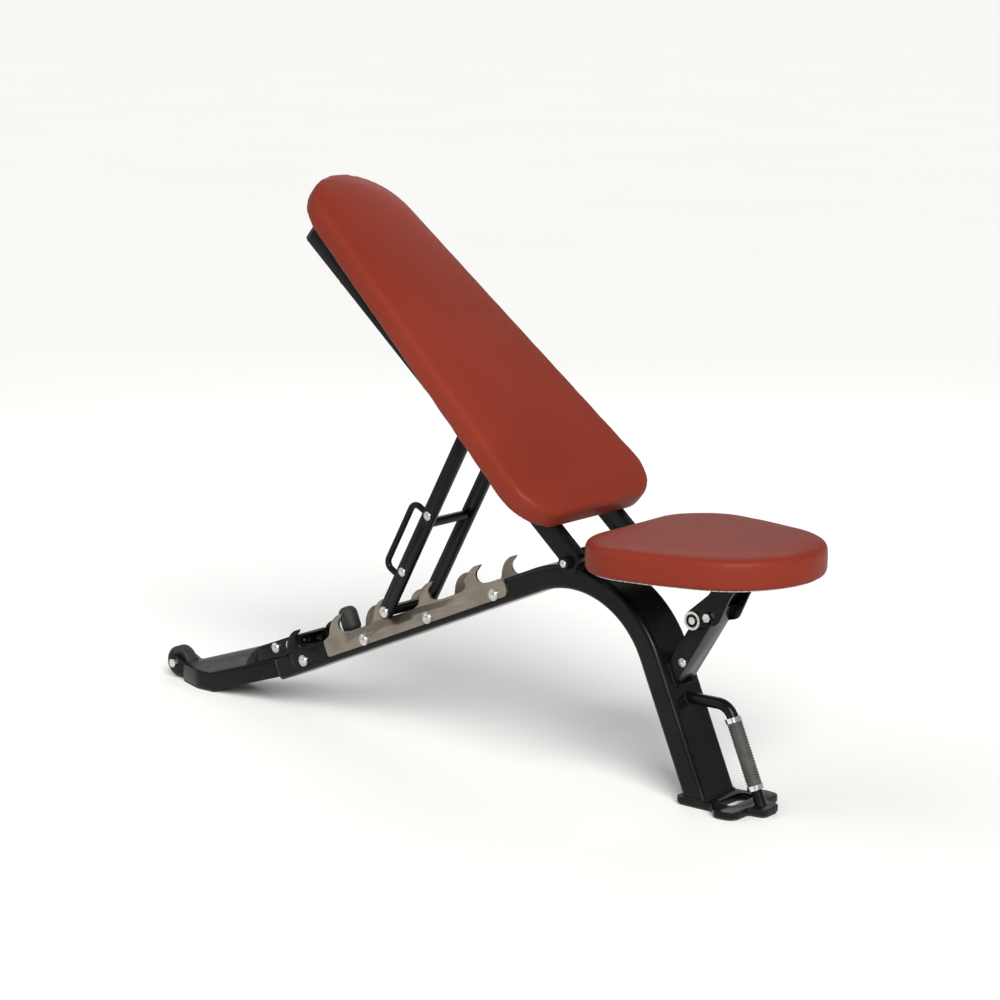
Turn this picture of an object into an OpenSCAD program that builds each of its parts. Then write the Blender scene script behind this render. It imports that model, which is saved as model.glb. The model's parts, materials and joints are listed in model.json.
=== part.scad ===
// Adjustable weight bench: a bent flat-tube frame with a toothed ladder, a padded backrest that
// tilts about a cross tube on top of the frame and is held up by a swinging prop, a padded seat
// with its own small tilt, a lifting handle at the front foot and a transport wheel at the rear.
// Millimetres. +X points from the rear wheel to the front foot, +Y is across the bench and +Z is
// up. The origin is on the floor, where the centre line of the front leg meets it.

/* [Frame tube] */
// Width of the flat frame tube, across the bench
beam_w = 90; // [80:1:108]
// Depth of the flat frame tube
beam_t = 40; // [34:1:48]
// Corner radius of the frame tube
beam_r = 9; // [6:1:12]
// Wall thickness of the frame tube
beam_wall = 3; // [2:0.5:4]
// Slope of the rising beam above the floor, in degrees
beam_angle = 23; // [20:0.5:26]
// Slope of the front leg above the floor, in degrees
leg_angle = 67; // [62:0.5:72]
// Height at which the centre lines of beam and leg would meet
corner_h = 392; // [360:1:420]
// Radius of the bend, to the centre of the tube
bend_r = 175; // [150:1:200]
// Straight length of the rising beam, from the bend to the tail
beam_len = 642; // [600:1:700]

/* [Tail] */
// Slope of the tail above the floor, in degrees
tail_angle = 18; // [16:0.5:20]
// Height of the tail's underside above the beam's, at their joint
tail_step = 6.5; // [3:0.5:9]
// Length of the flat underside that the tail stands on
tail_foot_len = 105; // [90:1:125]
// Height of the flat top at the tail's rear end
tail_end_h = 35; // [30:1:40]
// Height of the crowned cover above the tail tube
cover_h = 27; // [20:1:30]
// Length of the crowned cover, along the tail
cover_len = 188; // [160:1:192]
// Radius of the transport wheel
wheel_r = 29; // [22:1:32]
// Width of the transport wheel
wheel_w = 26; // [20:1:32]
// Gap between the wheel and the floor while the bench stands
wheel_lift = 2; // [2:0.5:5]
// Distance from the tail's rear end to the middle of the wheel
wheel_back = 24; // [18:1:30]
// Thickness of each cheek beside the wheel
cheek_t = 8; // [5:1:10]

/* [Ladder] */
// Distance from one catch to the next, along the beam
notch_pitch = 114; // [100:1:120]
// Distance from the bend to the front catch, along the beam
notch_first = 105; // [95:1:125]
// Thickness of the outer steel ladder plate
plate_t = 5; // [4:0.5:8]
// Inner radius of each hook
hook_r = 13; // [12:0.5:13.5]

/* [Front foot] */
// Thickness of the foot plate
foot_t = 10; // [8:1:14]
// Thickness of the rubber soles
sole_t = 4; // [3:1:8]
// Width across the toes of the foot
foot_w = 142; // [130:1:170]
// Distance from the leg's centre line to the nose of the foot, at the floor
foot_nose = 116; // [112:1:124]

/* [Lifting handle] */
// Diameter of the handle tube
handle_d = 19; // [16:1:22]
// Diameter of the ribbed grip
grip_d = 25; // [23:1:30]
// Height of the handle where it leaves the leg
handle_h = 165; // [150:1:180]
// Distance between the leg's centre line and the grip's centre line
handle_gap = 92; // [84:1:96]

/* [Seat] */
// Length of the seat pad
seat_len = 352; // [320:1:380]
// Width of the seat pad at its back
seat_w = 356; // [320:1:390]
// Height of the top of the seat
seat_h = 433; // [420:1:450]
// Thickness of the seat pad
seat_t = 50; // [40:1:55]
// Position of the rear edge of the seat
seat_x = -173; // [-180:1:-150]
// Width of the seat post
post_w = 50; // [40:1:60]
// Depth of the seat post
post_t = 30; // [25:1:34]
// Slope of the seat post above the floor, in degrees
post_angle = 58; // [55:1:64]
// Largest upward tilt of the seat, in degrees
seat_tilt = 12; // [6:1:12]

/* [Backrest] */
// Slope of the backrest above the floor, in degrees
back_angle = 41.2; // [38:0.2:44]
// Length of the back pad
back_len = 772; // [700:1:820]
// Width of the back pad at its bottom end
back_w = 340; // [300:1:360]
// Width of the back pad at its top end
back_top_w = 223; // [200:1:250]
// Thickness of the back pad
back_t = 42; // [36:1:50]
// Distance from the hinge to the bottom end of the back pad
back_start = 51; // [49:1:60]
// Width of each back rail
rail_w = 20; // [16:1:24]
// Depth of each back rail
rail_t = 34; // [30:1:38]
// Distance from the mid plane to the middle of each back rail
rail_y = 82; // [80:1:90]
// Length of each back rail, from the hinge to its top end
rail_len = 741; // [680:1:760]

/* [Prop] */
// Distance from the backrest hinge to the prop hinge, along the rail
prop_s = 305; // [295:1:320]
// Width of each prop bar
bar_w = 25; // [22:1:30]
// Thickness of each prop bar
bar_t = 10; // [8:1:11]
// Diameter of the rod that sits in the ladder
rod_d = 18; // [14:1:20]
// Distance from the ladder rod to the rung
rung_at = 190; // [150:1:220]

/* [Hidden] */
$fn = 64;

// Gap between faces that slide past each other
slide_gap = 0.5;
// Radial gap of a pin that turns in its bore
run_gap = 0.08;
// Number of facets of a soft outline
soft_fn = 48;
// Number of steps in a rounded corner of a plate
corner_steps = 6;

// Colours
black_paint = [0.07, 0.07, 0.07];
steel = [0.48, 0.45, 0.40];
bright = [0.72, 0.72, 0.71];
vinyl = [0.55, 0.20, 0.14];
rubber = [0.05, 0.05, 0.05];
cover_grey = [0.33, 0.33, 0.32];

// ---------------------------------------------------------------------------------------------
// Geometry of the centre lines
// ---------------------------------------------------------------------------------------------

function polar(r, a) = [r * cos(a), r * sin(a)];
function xz(p) = [p.x, 0, p.y];
function turned(p, a) = [p.x * cos(a) - p.y * sin(a), p.x * sin(a) + p.y * cos(a)];

corner = [-corner_h / tan(leg_angle), corner_h];
turn = beam_angle + leg_angle;
tangent_len = bend_r * tan(turn / 2);
bend_start = corner - polar(tangent_len, beam_angle);
bend_end = corner + polar(tangent_len, -leg_angle);
bend_centre = bend_start + polar(bend_r, beam_angle - 90);
foot_top = sole_t + foot_t;
// Number of catches: all but the last are on the steel plates
notch_count = 5;
// The catch that holds the prop, counted from the front, starting at 0
notch_used = 2;
last_catch = notch_first + notch_pitch * (notch_count - 1);

// A point given by its distance d behind the bend and its height h above the beam's centre line
function beam_point(d, h) = bend_start + turned([-d, h], beam_angle);

// Places its children on the beam's centre line, d behind the bend, with +X along the beam
module on_beam(d) {
    translate(xz(beam_point(d, 0)))
        rotate([0, -beam_angle, 0])
            children();
}

// The same on the leg, with +X up the leg, +Z to its rear face and the origin on the floor
module on_leg() {
    rotate([0, leg_angle - 180, 0])
        children();
}

// ---------------------------------------------------------------------------------------------
// Shared shapes
// ---------------------------------------------------------------------------------------------

// The place of index i in a closed ring of n
function mod(i, n) = (i % n + n) % n;

// Points of an outline whose corners [x, y, r] are rounded with radius r
function rounded(p) = [
    for (i = [0:len(p) - 1])
        each p[i].z > 0
            ? fillet(p[mod(i - 1, len(p))], p[i], p[mod(i + 1, len(p))])
            : [[p[i].x, p[i].y]]
];

// The arc that rounds corner b between its neighbours a and c
function fillet(a, b, c) =
    let (
        u = [a.x - b.x, a.y - b.y] / norm([a.x - b.x, a.y - b.y]),
        v = [c.x - b.x, c.y - b.y] / norm([c.x - b.x, c.y - b.y]),
        half = acos(u * v) / 2,
        centre = [b.x, b.y] + (u + v) / norm(u + v) * b.z / sin(half),
        first = [b.x, b.y] + u * b.z / tan(half) - centre,
        side = -sign(u.x * v.y - u.y * v.x),
        sweep = side * (180 - 2 * half)
    )
    [for (i = [0:corner_steps]) centre + turned(first, sweep * i / corner_steps)];

// Extrudes an outline drawn in the XZ plane over y0 to y1
module slab(points, y0, y1) {
    translate([0, y1, 0])
        rotate([90, 0, 0])
            linear_extrude(y1 - y0)
                polygon(points);
}

// A round bar across the bench, from y0 to y1, centred on the point p = [x, z]
module cross_bar(p, r, y0, y1) {
    translate([p.x, y0, p.y])
        rotate([-90, 0, 0])
            cylinder(h = y1 - y0, r = r);
}

// A hexagon head across the bench on the face y, growing in the direction of side
module hex_head(p, across, h, y, side) {
    translate([p.x, y, p.y])
        rotate([-90 * side, 0, 0])
            cylinder(h = h, r = across / sqrt(3), $fn = 6);
}

// A rounded rectangle, its width along X and its height along Y
module round_rect(w, h, r) {
    square([w - 2 * r, h], center = true);
    square([w, h - 2 * r], center = true);
    for (x = [-1, 1], y = [-1, 1])
        translate([x * (w / 2 - r), y * (h / 2 - r)])
            circle(r = r);
}

// Cross-section of the frame tube, its width along X and its depth along Y
module tube_section() {
    difference() {
        round_rect(beam_w, beam_t, beam_r);
        round_rect(beam_w - 2 * beam_wall, beam_t - 2 * beam_wall, beam_r - beam_wall);
    }
}

// ---------------------------------------------------------------------------------------------
// Frame: beam, bend and leg
// ---------------------------------------------------------------------------------------------

leg_top = norm(bend_end);

module main_beam() {
    color(black_paint) {
        on_beam(beam_len)
            rotate([90, 0, 90])
                linear_extrude(beam_len)
                    tube_section();
        translate(xz(bend_centre))
            rotate([90, 0, 0])
                rotate([0, 0, 90 - leg_angle])
                    rotate_extrude(angle = turn, $fn = 128)
                        translate([bend_r, 0])
                            rotate(90)
                                tube_section();
        difference() {
            on_leg()
                rotate([90, 0, 90])
                    linear_extrude(leg_top)
                        tube_section();
            translate([-beam_w, -beam_w, foot_top - beam_w])
                cube([2 * beam_w, 2 * beam_w, beam_w]);
        }
    }
}

// ---------------------------------------------------------------------------------------------
// Tail: the wedge that the rear end stands on
// ---------------------------------------------------------------------------------------------

tail_slope = tan(tail_angle);
tail_rise = (beam_t - tail_step) / cos(tail_angle);
plug_t = 3;
tail_joint = beam_point(beam_len + plug_t, tail_step - beam_t / 2);
tail_front = tail_joint.x;
tail_heel = tail_front - (tail_joint.y - sole_t) / tail_slope;
tail_rear = tail_heel - tail_foot_len;
wheel_c = [tail_rear - wheel_back, wheel_r + wheel_lift];
wheel_slot = wheel_w + 2 * slide_gap;

function tail_top(x) = sole_t + (x - tail_heel) * tail_slope + tail_rise;

// Length of the tail's front face, which follows the end of the beam
front_face = tail_rise / (cos(beam_angle) + sin(beam_angle) * tail_slope);

// Plan of the tail: straight sides and a rounded rear end
module tail_plan(inset) {
    w = beam_w / 2 - inset;
    rear = tail_rear + inset;
    polygon(rounded([
        [tail_front + beam_t, -w, 0],
        [tail_front + beam_t, w, 0],
        [tail_rear + 60, w, 60],
        [rear, wheel_slot / 2 + cheek_t + 2 - inset / 2, 8],
        [rear, -wheel_slot / 2 - cheek_t - 2 + inset / 2, 8],
        [tail_rear + 60, -w, 60]
    ]));
}

// Side outline of the tail tube, set in by a wall
function tail_side(inset) =
    let (
        low = tail_joint + turned([-inset, inset], beam_angle),
        high = tail_joint + turned([-inset, front_face - inset], beam_angle),
        end = tail_rear - 40,
        top = tail_end_h - inset,
        flat = tail_heel + (tail_end_h - sole_t - tail_rise) / tail_slope
    )
    [low, [tail_heel, sole_t + inset], [end, sole_t + inset], [end, top], [flat, top], high];

module tail_block(inset) {
    intersection() {
        slab(tail_side(inset), -beam_w, beam_w);
        linear_extrude(2 * corner_h)
            tail_plan(inset);
    }
}

module wheel_room() {
    translate([wheel_c.x - 2 * wheel_r, -wheel_slot / 2, 0])
        cube([3 * wheel_r + slide_gap, wheel_slot, 3 * wheel_r]);
}

module tail_tube() {
    color(black_paint)
        difference() {
            tail_block(0);
            difference() {
                tail_block(beam_wall);
                translate([wheel_c.x, -beam_w, 0])
                    cube([wheel_r + 8 * beam_wall, 2 * beam_w, beam_w]);
            }
            wheel_room();
        }
}

cover_r = (beam_w * beam_w / 4 + cover_h * cover_h) / (2 * cover_h);
cover_front = min(tail_rear + cover_len, tail_front - 56);
cover_step = 3;

// A thin crowned cover on top of the tail
module tail_cover() {
    color(cover_grey)
        difference() {
            intersection() {
                translate([tail_front, 0, tail_top(tail_front)])
                    rotate([0, 90 - tail_angle, 0])
                        translate([cover_r - cover_h, 0, -2 * beam_len])
                            cylinder(h = 4 * beam_len, r = cover_r, $fn = 128);
                linear_extrude(2 * corner_h)
                    intersection() {
                        tail_plan(cover_step);
                        translate([cover_front - 4 * beam_w, -beam_w])
                            square([4 * beam_w, 2 * beam_w]);
                    }
            }
            slab([
                [tail_rear - 99, tail_top(tail_rear - 99)],
                [tail_front + 99, tail_top(tail_front + 99)],
                [tail_front + 99, 0],
                [tail_rear - 99, 0]
            ], -beam_w, beam_w);
            tail_block(0);
            wheel_room();
        }
}

module beam_end_plug() {
    color(rubber)
        on_beam(beam_len + plug_t)
            rotate([90, 0, 90])
                linear_extrude(plug_t)
                    round_rect(beam_w, beam_t, beam_r);
}

bracket_w = 76;
bracket_h = 29;
bracket_wall = 5;
bracket_front = min(last_catch + 17, beam_len - 30);
bracket_rear = cover_front + 26;
bracket_bolts = [
    beam_point(bracket_front + 24, beam_t / 2 + 14),
    beam_point(bracket_front + 61, beam_t / 2 + 19)
];
bolt_d = 10;
head_w = 15;
head_h = 6;

// Side outline of the bracket: it follows the upper faces of the beam and of the tail
function bracket_side(over, drop, high, r) = rounded([
    concat(beam_point(bracket_front - over, beam_t / 2 - drop), 0),
    concat(tail_joint + turned([0, front_face - drop], beam_angle), 0),
    [bracket_rear - over, tail_top(bracket_rear - over) - drop, 0],
    [bracket_rear - over, tail_top(bracket_rear - over) + high, r],
    concat(beam_point(bracket_front - over, beam_t / 2 + high), r)
]);

// An arched bracket over the joint of beam and tail
module tail_bracket() {
    color(black_paint)
        difference() {
            slab(bracket_side(0, 0, bracket_h, 8), -bracket_w / 2, bracket_w / 2);
            slab(bracket_side(1, 1, bracket_h - bracket_wall, 0),
                bracket_wall - bracket_w / 2, bracket_w / 2 - bracket_wall);
            for (p = bracket_bolts)
                cross_bar(p, bolt_d / 2, -bracket_w, bracket_w);
        }
}

module tail_bracket_bolts() {
    color(bright)
        for (p = bracket_bolts, side = [-1, 1]) {
            hex_head(p, head_w, head_h, side * bracket_w / 2, side);
            cross_bar(p, bolt_d / 2, side > 0 ? bracket_w / 2 - 14 : -bracket_w / 2,
                side > 0 ? bracket_w / 2 : 14 - bracket_w / 2);
        }
}

module rear_sole() {
    color(rubber)
        linear_extrude(sole_t)
            intersection() {
                tail_plan(1);
                translate([tail_rear + 2, -beam_w])
                    square([tail_heel - tail_rear - 4, 2 * beam_w]);
            }
}

// ---------------------------------------------------------------------------------------------
// Transport wheel
// ---------------------------------------------------------------------------------------------

axle_r = 5;
tyre_t = 7;
cheek_r = 17;

module wheel_cheeks() {
    color(black_paint)
        for (side = [-1, 1])
            difference() {
                union() {
                    cross_bar(wheel_c, cheek_r, side > 0 ? wheel_slot / 2 : -wheel_slot / 2 - cheek_t,
                        side > 0 ? wheel_slot / 2 + cheek_t : -wheel_slot / 2);
                    slab([
                        [wheel_c.x, wheel_c.y - cheek_r],
                        [tail_rear + 9, wheel_c.y - cheek_r],
                        [tail_rear + 9, tail_end_h - 1],
                        [wheel_c.x, wheel_c.y + cheek_r]
                    ], side > 0 ? wheel_slot / 2 : -wheel_slot / 2 - cheek_t,
                        side > 0 ? wheel_slot / 2 + cheek_t : -wheel_slot / 2);
                }
                tail_block(0);
                cross_bar(wheel_c, axle_r, -beam_w, beam_w);
            }
}

module wheel_axle() {
    end = wheel_slot / 2 + cheek_t;
    color(bright) {
        cross_bar(wheel_c, axle_r, -end, end);
        hex_head(wheel_c, head_w, head_h, end, 1);
        hex_head(wheel_c, head_w, head_h, -end, -1);
    }
}

module wheel_hub() {
    color(cover_grey)
        difference() {
            union() {
                cross_bar(wheel_c, wheel_r - tyre_t, -wheel_w / 2 + 3, wheel_w / 2 - 3);
                cross_bar(wheel_c, axle_r + 5, -wheel_w / 2, wheel_w / 2);
            }
            cross_bar(wheel_c, axle_r + run_gap, -wheel_w, wheel_w);
        }
}

module wheel_tyre() {
    edge = 4;
    color(rubber)
        translate([wheel_c.x, 0, wheel_c.y])
            rotate([90, 0, 0])
                rotate_extrude($fn = 128)
                    difference() {
                        translate([wheel_r - tyre_t / 2 - edge, 0])
                            round_rect(tyre_t + 2 * edge, wheel_w - 1, edge);
                        translate([0, -wheel_w])
                            square([wheel_r - tyre_t, 2 * wheel_w]);
                    }
}

// ---------------------------------------------------------------------------------------------
// Ladder
// ---------------------------------------------------------------------------------------------

plate_low = -9;
plate_high = beam_t / 2 + 2;
horn_h = plate_high + 33;
hook_c = [0, plate_high + hook_r + 1.5];
rod_h = hook_c.y - hook_r + rod_d / 2 + slide_gap;
bolt_front = notch_first - 13;
bolt_pitch = 1.395 * notch_pitch;
bolt_count = 4;
plate_front = bolt_front - 31;
plate_split = last_catch - 54;
plate_rear = last_catch + 39;

// Outline of one hook, drawn round the seat of the rod, with the front on the right
horn = rounded([
    [-58, plate_high - 1, 0],
    [-42, plate_high + 4, 12],
    [-35, horn_h - 16, 24],
    [-25, horn_h - 5, 28],
    [-10, horn_h + 1, 28],
    [5, horn_h, 0],
    [-6, horn_h - 8.5, 0],
    [1, hook_c.y, 0],
    [1, plate_high + 1.6, 0],
    [14, plate_high - 1, 0]
]);

// Outline of a plate from front to rear that holds the catches first to last
module ladder_outline(front, rear, first, last, front_r, rear_r) {
    polygon(rounded([
        [-rear, plate_low, rear_r],
        [-front, plate_low, front_r],
        [-front, plate_high, front_r],
        [-rear, plate_high, rear_r]
    ]));
    for (i = [first:last])
        translate([-notch_first - i * notch_pitch, 0])
            difference() {
                polygon(horn);
                translate(hook_c)
                    circle(r = hook_r);
            }
}

// Stands an outline against the side of the beam, with holes for the bolts
module ladder_side(side) {
    difference() {
        translate([0, side > 0 ? beam_w / 2 + plate_t : -beam_w / 2, 0])
            on_beam(0)
                rotate([90, 0, 0])
                    linear_extrude(plate_t)
                        children();
        for (i = [0:bolt_count - 1])
            cross_bar(beam_point(bolt_front + i * bolt_pitch, 0), bolt_d / 2, -beam_w, beam_w);
    }
}

module ladder_plate(side) {
    color(steel)
        ladder_side(side)
            ladder_outline(plate_front, plate_split, 0, notch_count - 2, 13, 5);
}

module rear_catch(side) {
    color(black_paint)
        ladder_side(side)
            ladder_outline(plate_split, plate_rear, notch_count - 1, notch_count - 1, 0, 12);
}

module ladder_plate_near() { ladder_plate(-1); }
module ladder_plate_far() { ladder_plate(1); }
module rear_catch_near() { rear_catch(-1); }
module rear_catch_far() { rear_catch(1); }

module ladder_bolts() {
    reach = beam_w / 2 + plate_t;
    color(bright)
        for (i = [0:bolt_count - 1], side = [-1, 1]) {
            p = beam_point(bolt_front + i * bolt_pitch, 0);
            hex_head(p, head_w, head_h, side * reach, side);
            cross_bar(p, bolt_d / 2, side > 0 ? beam_w / 2 : -reach, side > 0 ? reach : -beam_w / 2);
        }
}

bumper_d = 34;
bumper_h = 48;

// A round-topped rubber stop in the middle of the beam, which the lowered prop lies on
module rest_bumper() {
    d = last_catch - notch_pitch + 30;
    color(rubber)
        on_beam(d)
            translate([0, 0, beam_t / 2])
                rotate_extrude($fn = 64)
                    intersection() {
                        translate([0, bumper_h / 2])
                            round_rect(bumper_d, bumper_h, 13);
                        square([bumper_d, bumper_h]);
                    }
}

// ---------------------------------------------------------------------------------------------
// Front foot and lifting handle
// ---------------------------------------------------------------------------------------------

leg_half = beam_t / 2 / sin(leg_angle);
foot_back = -leg_half - 18;
toe_front = foot_nose - 28;
nose_w = 50;
slot_x = leg_half + 10;
slot_len = 30;
slot_w = 72;

module foot_plan(inset) {
    toe = foot_w / 2 - inset;
    side = beam_w / 2 + 2 - inset;
    nose = nose_w / 2 - inset / 2;
    half = [
        [foot_back + inset, side, 10],
        [slot_x, side, 12],
        [slot_x + 20, toe, 16],
        [toe_front - inset, toe - 4, 18],
        [toe_front - inset, nose, 6],
        [foot_nose - inset, nose - 4, 10]
    ];
    difference() {
        polygon(rounded(concat(half, [for (i = [len(half) - 1:-1:0]) [half[i].x, -half[i].y, half[i].z]])));
        translate([slot_x + slot_len / 2, 0])
            round_rect(slot_len + 2 * inset, slot_w + 2 * inset, 12 + inset);
    }
}

module front_foot() {
    color(black_paint)
        translate([0, 0, sole_t])
            linear_extrude(foot_t)
                foot_plan(0);
}

module front_sole() {
    color(rubber)
        linear_extrude(sole_t)
            foot_plan(2);
}

handle_r = handle_d / 2;
elbow_r = 30;
leg_dir = polar(1, 180 - leg_angle);
grip_line = [handle_gap / sin(leg_angle), 0];
elbow_end_z = handle_h - elbow_r + elbow_r * cos(leg_angle);
elbow_end = [grip_line.x - elbow_end_z / tan(leg_angle), elbow_end_z];
elbow_c = [elbow_end.x - elbow_r * sin(leg_angle), handle_h - elbow_r];
grip_len = 104;
collar_h = 8;
collar_r = grip_d / 2 + 1;

// Places its children on the grip's line, at the distance d below the end of the elbow
module on_grip(d) {
    translate(xz(elbow_end - leg_dir * d))
        rotate([0, 90 + leg_angle, 0])
            children();
}

// The short run out of the leg
module handle_stub() {
    color(black_paint)
        difference() {
            translate([-leg_half - beam_t, 0, handle_h])
                rotate([0, 90, 0])
                    cylinder(h = elbow_c.x + leg_half + beam_t, r = handle_r);
            on_leg()
                translate([0, -beam_w / 2, -beam_t / 2])
                    cube([leg_top, beam_w, 4 * beam_t]);
        }
}

module handle_elbow() {
    color(black_paint)
        translate(xz(elbow_c))
            rotate([90, 0, 0])
                rotate([0, 0, 90 - leg_angle])
                    rotate_extrude(angle = leg_angle)
                        translate([elbow_r, 0])
                            rotate(180)
                                circle(r = handle_r);
}

// The straight run down to the foot, which carries the grip
module handle_tube() {
    color(black_paint)
        difference() {
            on_grip(0)
                cylinder(h = (elbow_end_z - foot_top) / sin(leg_angle) + handle_d, r = handle_r);
            translate([-beam_w, -beam_w, foot_top - beam_w])
                cube([3 * beam_w, 2 * beam_w, beam_w]);
        }
}

module handle_ring(d, h, r) {
    on_grip(d)
        difference() {
            cylinder(h = h, r = r);
            translate([0, 0, -1])
                cylinder(h = h + 2, r = handle_r);
        }
}

module handle_collar_top() {
    color(bright) handle_ring(0, collar_h, collar_r);
}

module handle_grip() {
    ribs = 18;
    pitch = grip_len / ribs;
    color(cover_grey) {
        handle_ring(collar_h, grip_len, grip_d / 2 - 1);
        for (i = [0:ribs - 1])
            on_grip(collar_h + (i + 0.25) * pitch)
                difference() {
                    cylinder(h = pitch / 2, r = grip_d / 2);
                    translate([0, 0, -1])
                        cylinder(h = pitch, r = grip_d / 2 - 1.5);
                }
    }
}

module handle_collar_bottom() {
    color(bright) handle_ring(collar_h + grip_len, collar_h, collar_r);
}

// ---------------------------------------------------------------------------------------------
// Backrest: hinge, rails, board and pad
// ---------------------------------------------------------------------------------------------

tube_r = 18;
pin_r = 8;
hinge_lift = 4;
bush_t = 8;
hinge_x = bend_centre.x + 35;
bend_out = bend_r + beam_t / 2;
crown = bend_centre.y + sqrt(bend_out * bend_out - 35 * 35);
hinge = [hinge_x, crown + tube_r + hinge_lift];
rail_in = rail_y - rail_w / 2;
rail_out = rail_y + rail_w / 2;
tube_end = rail_in - slide_gap - bush_t;

module pivot_tube() {
    color(black_paint)
        difference() {
            cross_bar(hinge, tube_r, -tube_end, tube_end);
            cross_bar(hinge, pin_r + 2, -rail_y, rail_y);
        }
}

// Two upright plates, cut to sit on the bend and to cradle the cross tube
module pivot_saddle() {
    plate = 8;
    w = tube_r + 14;
    color(black_paint)
        for (y = [-34, 34 - plate])
            difference() {
                slab(rounded([
                    [hinge.x - w, crown - 30, 0],
                    [hinge.x + w, crown - 30, 0],
                    [hinge.x + w, crown + 4, 6],
                    [hinge.x + tube_r + 2, hinge.y + 2, 4],
                    [hinge.x - tube_r - 2, hinge.y + 2, 4],
                    [hinge.x - w, crown + 4, 6]
                ]), y, y + plate);
                cross_bar(hinge, tube_r, -beam_w, beam_w);
                translate(xz(bend_centre))
                    rotate([90, 0, 0])
                        cylinder(h = 2 * beam_w, r = bend_out, center = true, $fn = 128);
            }
}

// A flanged bush between the cross tube and each rail
module pivot_bush(side) {
    inner = side > 0 ? tube_end - 12 : -tube_end - bush_t;
    color(bright)
        difference() {
            union() {
                cross_bar(hinge, pin_r + 2, inner, inner + 12 + bush_t);
                cross_bar(hinge, tube_r - 1, side > 0 ? tube_end : -tube_end - bush_t,
                    side > 0 ? tube_end + bush_t : -tube_end);
            }
            cross_bar(hinge, pin_r + run_gap, -rail_out, rail_out);
        }
}

module pivot_bush_near() { pivot_bush(-1); }
module pivot_bush_far() { pivot_bush(1); }

cap_h = 5;

module back_pivot_pin() {
    color(bright) {
        cross_bar(hinge, pin_r, -rail_out, rail_out);
        for (side = [-1, 1]) {
            hex_head(hinge, head_w + 4, head_h + 3, side * (rail_out + 2), side);
            cross_bar(hinge, head_w - 1, side > 0 ? rail_out : -rail_out - 2,
                side > 0 ? rail_out + 2 : -rail_out);
        }
    }
}

// Places its children in the backrest's own frame: +X up the rails, +Z out of the pad's face
module on_back() {
    translate(xz(hinge))
        rotate([0, 180 + back_angle, 0])
            mirror([0, 0, 1])
                children();
}

// A point of the backrest's frame, at s up the rails and n towards the face
function back_point(s, n) = hinge + turned([s, -n], 180 - back_angle);

rail_low = -9;
rail_high = rail_low + rail_t;
rail_mid = (rail_low + rail_high) / 2;
pad_back = rail_high;
eye_r = 18;
rail_wall = 2.5;

// The outline of a rail in the XZ plane: a long bar with a round eye at the hinge
module rail(y0) {
    y1 = y0 + rail_w;
    color(black_paint)
        difference() {
            union() {
                slab([
                    back_point(0, rail_low),
                    back_point(rail_len, rail_low),
                    back_point(rail_len, rail_high),
                    back_point(0, rail_high)
                ], y0, y1);
                cross_bar(hinge, eye_r, y0, y1);
                cross_bar(back_point(0, rail_mid), rail_t / 2, y0, y1);
            }
            slab([
                back_point(2 * eye_r, rail_low + rail_wall),
                back_point(rail_len + 1, rail_low + rail_wall),
                back_point(rail_len + 1, rail_high - rail_wall),
                back_point(2 * eye_r, rail_high - rail_wall)
            ], y0 + rail_wall, y1 - rail_wall);
            cross_bar(hinge, pin_r, -beam_w * 2, beam_w * 2);
            cross_bar(back_point(prop_s, rail_mid), prop_pin_r, -beam_w * 2, beam_w * 2);
        }
}

module back_rail_near() { rail(-rail_out); }
module back_rail_far() { rail(rail_in); }

module rail_caps() {
    color(rubber)
        for (y = [-rail_out, rail_in])
            slab([
                back_point(rail_len, rail_low),
                back_point(rail_len + cap_h, rail_low + 3),
                back_point(rail_len + cap_h, rail_high - 2),
                back_point(rail_len, rail_high - 2)
            ], y, y + rail_w);
}

// A cross member between the rails, centred at s
module back_cross(s, deep) {
    half = 15;
    color(black_paint)
        difference() {
            slab([
                back_point(s - half, rail_high - deep),
                back_point(s + half, rail_high - deep),
                back_point(s + half, rail_high),
                back_point(s - half, rail_high)
            ], -rail_in, rail_in);
            slab([
                back_point(s - half + 2, rail_high - deep + 2),
                back_point(s + half - 2, rail_high - deep + 2),
                back_point(s + half - 2, rail_high - 2),
                back_point(s - half + 2, rail_high - 2)
            ], -rail_in, rail_in);
        }
}

cross_low = back_start + 64;
cross_high = rail_len - 100;
cross_t = 22;

module back_cross_low() { back_cross(cross_low, cross_t); }
module back_cross_high() { back_cross(cross_high, cross_t); }

board_t = 10;
board_inset = 16;
pad_corner = 74;
seat_corner = 96;

// Plan of the back pad, from its bottom end upwards, set in by an inset
module back_outline(inset) {
    w = back_w / 2 - pad_corner;
    top_r = back_top_w / 2 - 6;
    hull()
        for (side = [-1, 1]) {
            translate([pad_corner, side * w])
                circle(r = pad_corner - inset, $fn = soft_fn);
            translate([back_len - top_r, side * 6])
                circle(r = top_r - inset, $fn = soft_fn);
        }
}

// Plan of the seat pad, from its rear edge forwards, set in by an inset
module seat_outline(inset) {
    front_r = seat_w / 2 - 20;
    shoulder = seat_len - front_r - 49;
    hull() {
        for (side = [-1, 1]) {
            translate([seat_corner, side * (seat_w / 2 - seat_corner)])
                circle(r = seat_corner - inset, $fn = soft_fn);
            translate([shoulder, side * (seat_w / 2 - seat_corner - 2)])
                circle(r = seat_corner - 4 - inset, $fn = soft_fn);
        }
        translate([seat_len - front_r, 0])
            circle(r = front_r - inset, $fn = soft_fn);
    }
}

screw_s = [cross_low, prop_s - 60, prop_s + 90, cross_high];

module back_pad() {
    color(vinyl)
        on_back()
            translate([back_start, 0, pad_back])
                difference() {
                    linear_extrude(back_t)
                        back_outline(0);
                    translate([0, 0, -1])
                        linear_extrude(board_t + 1)
                            back_outline(board_inset);
                }
}

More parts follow.
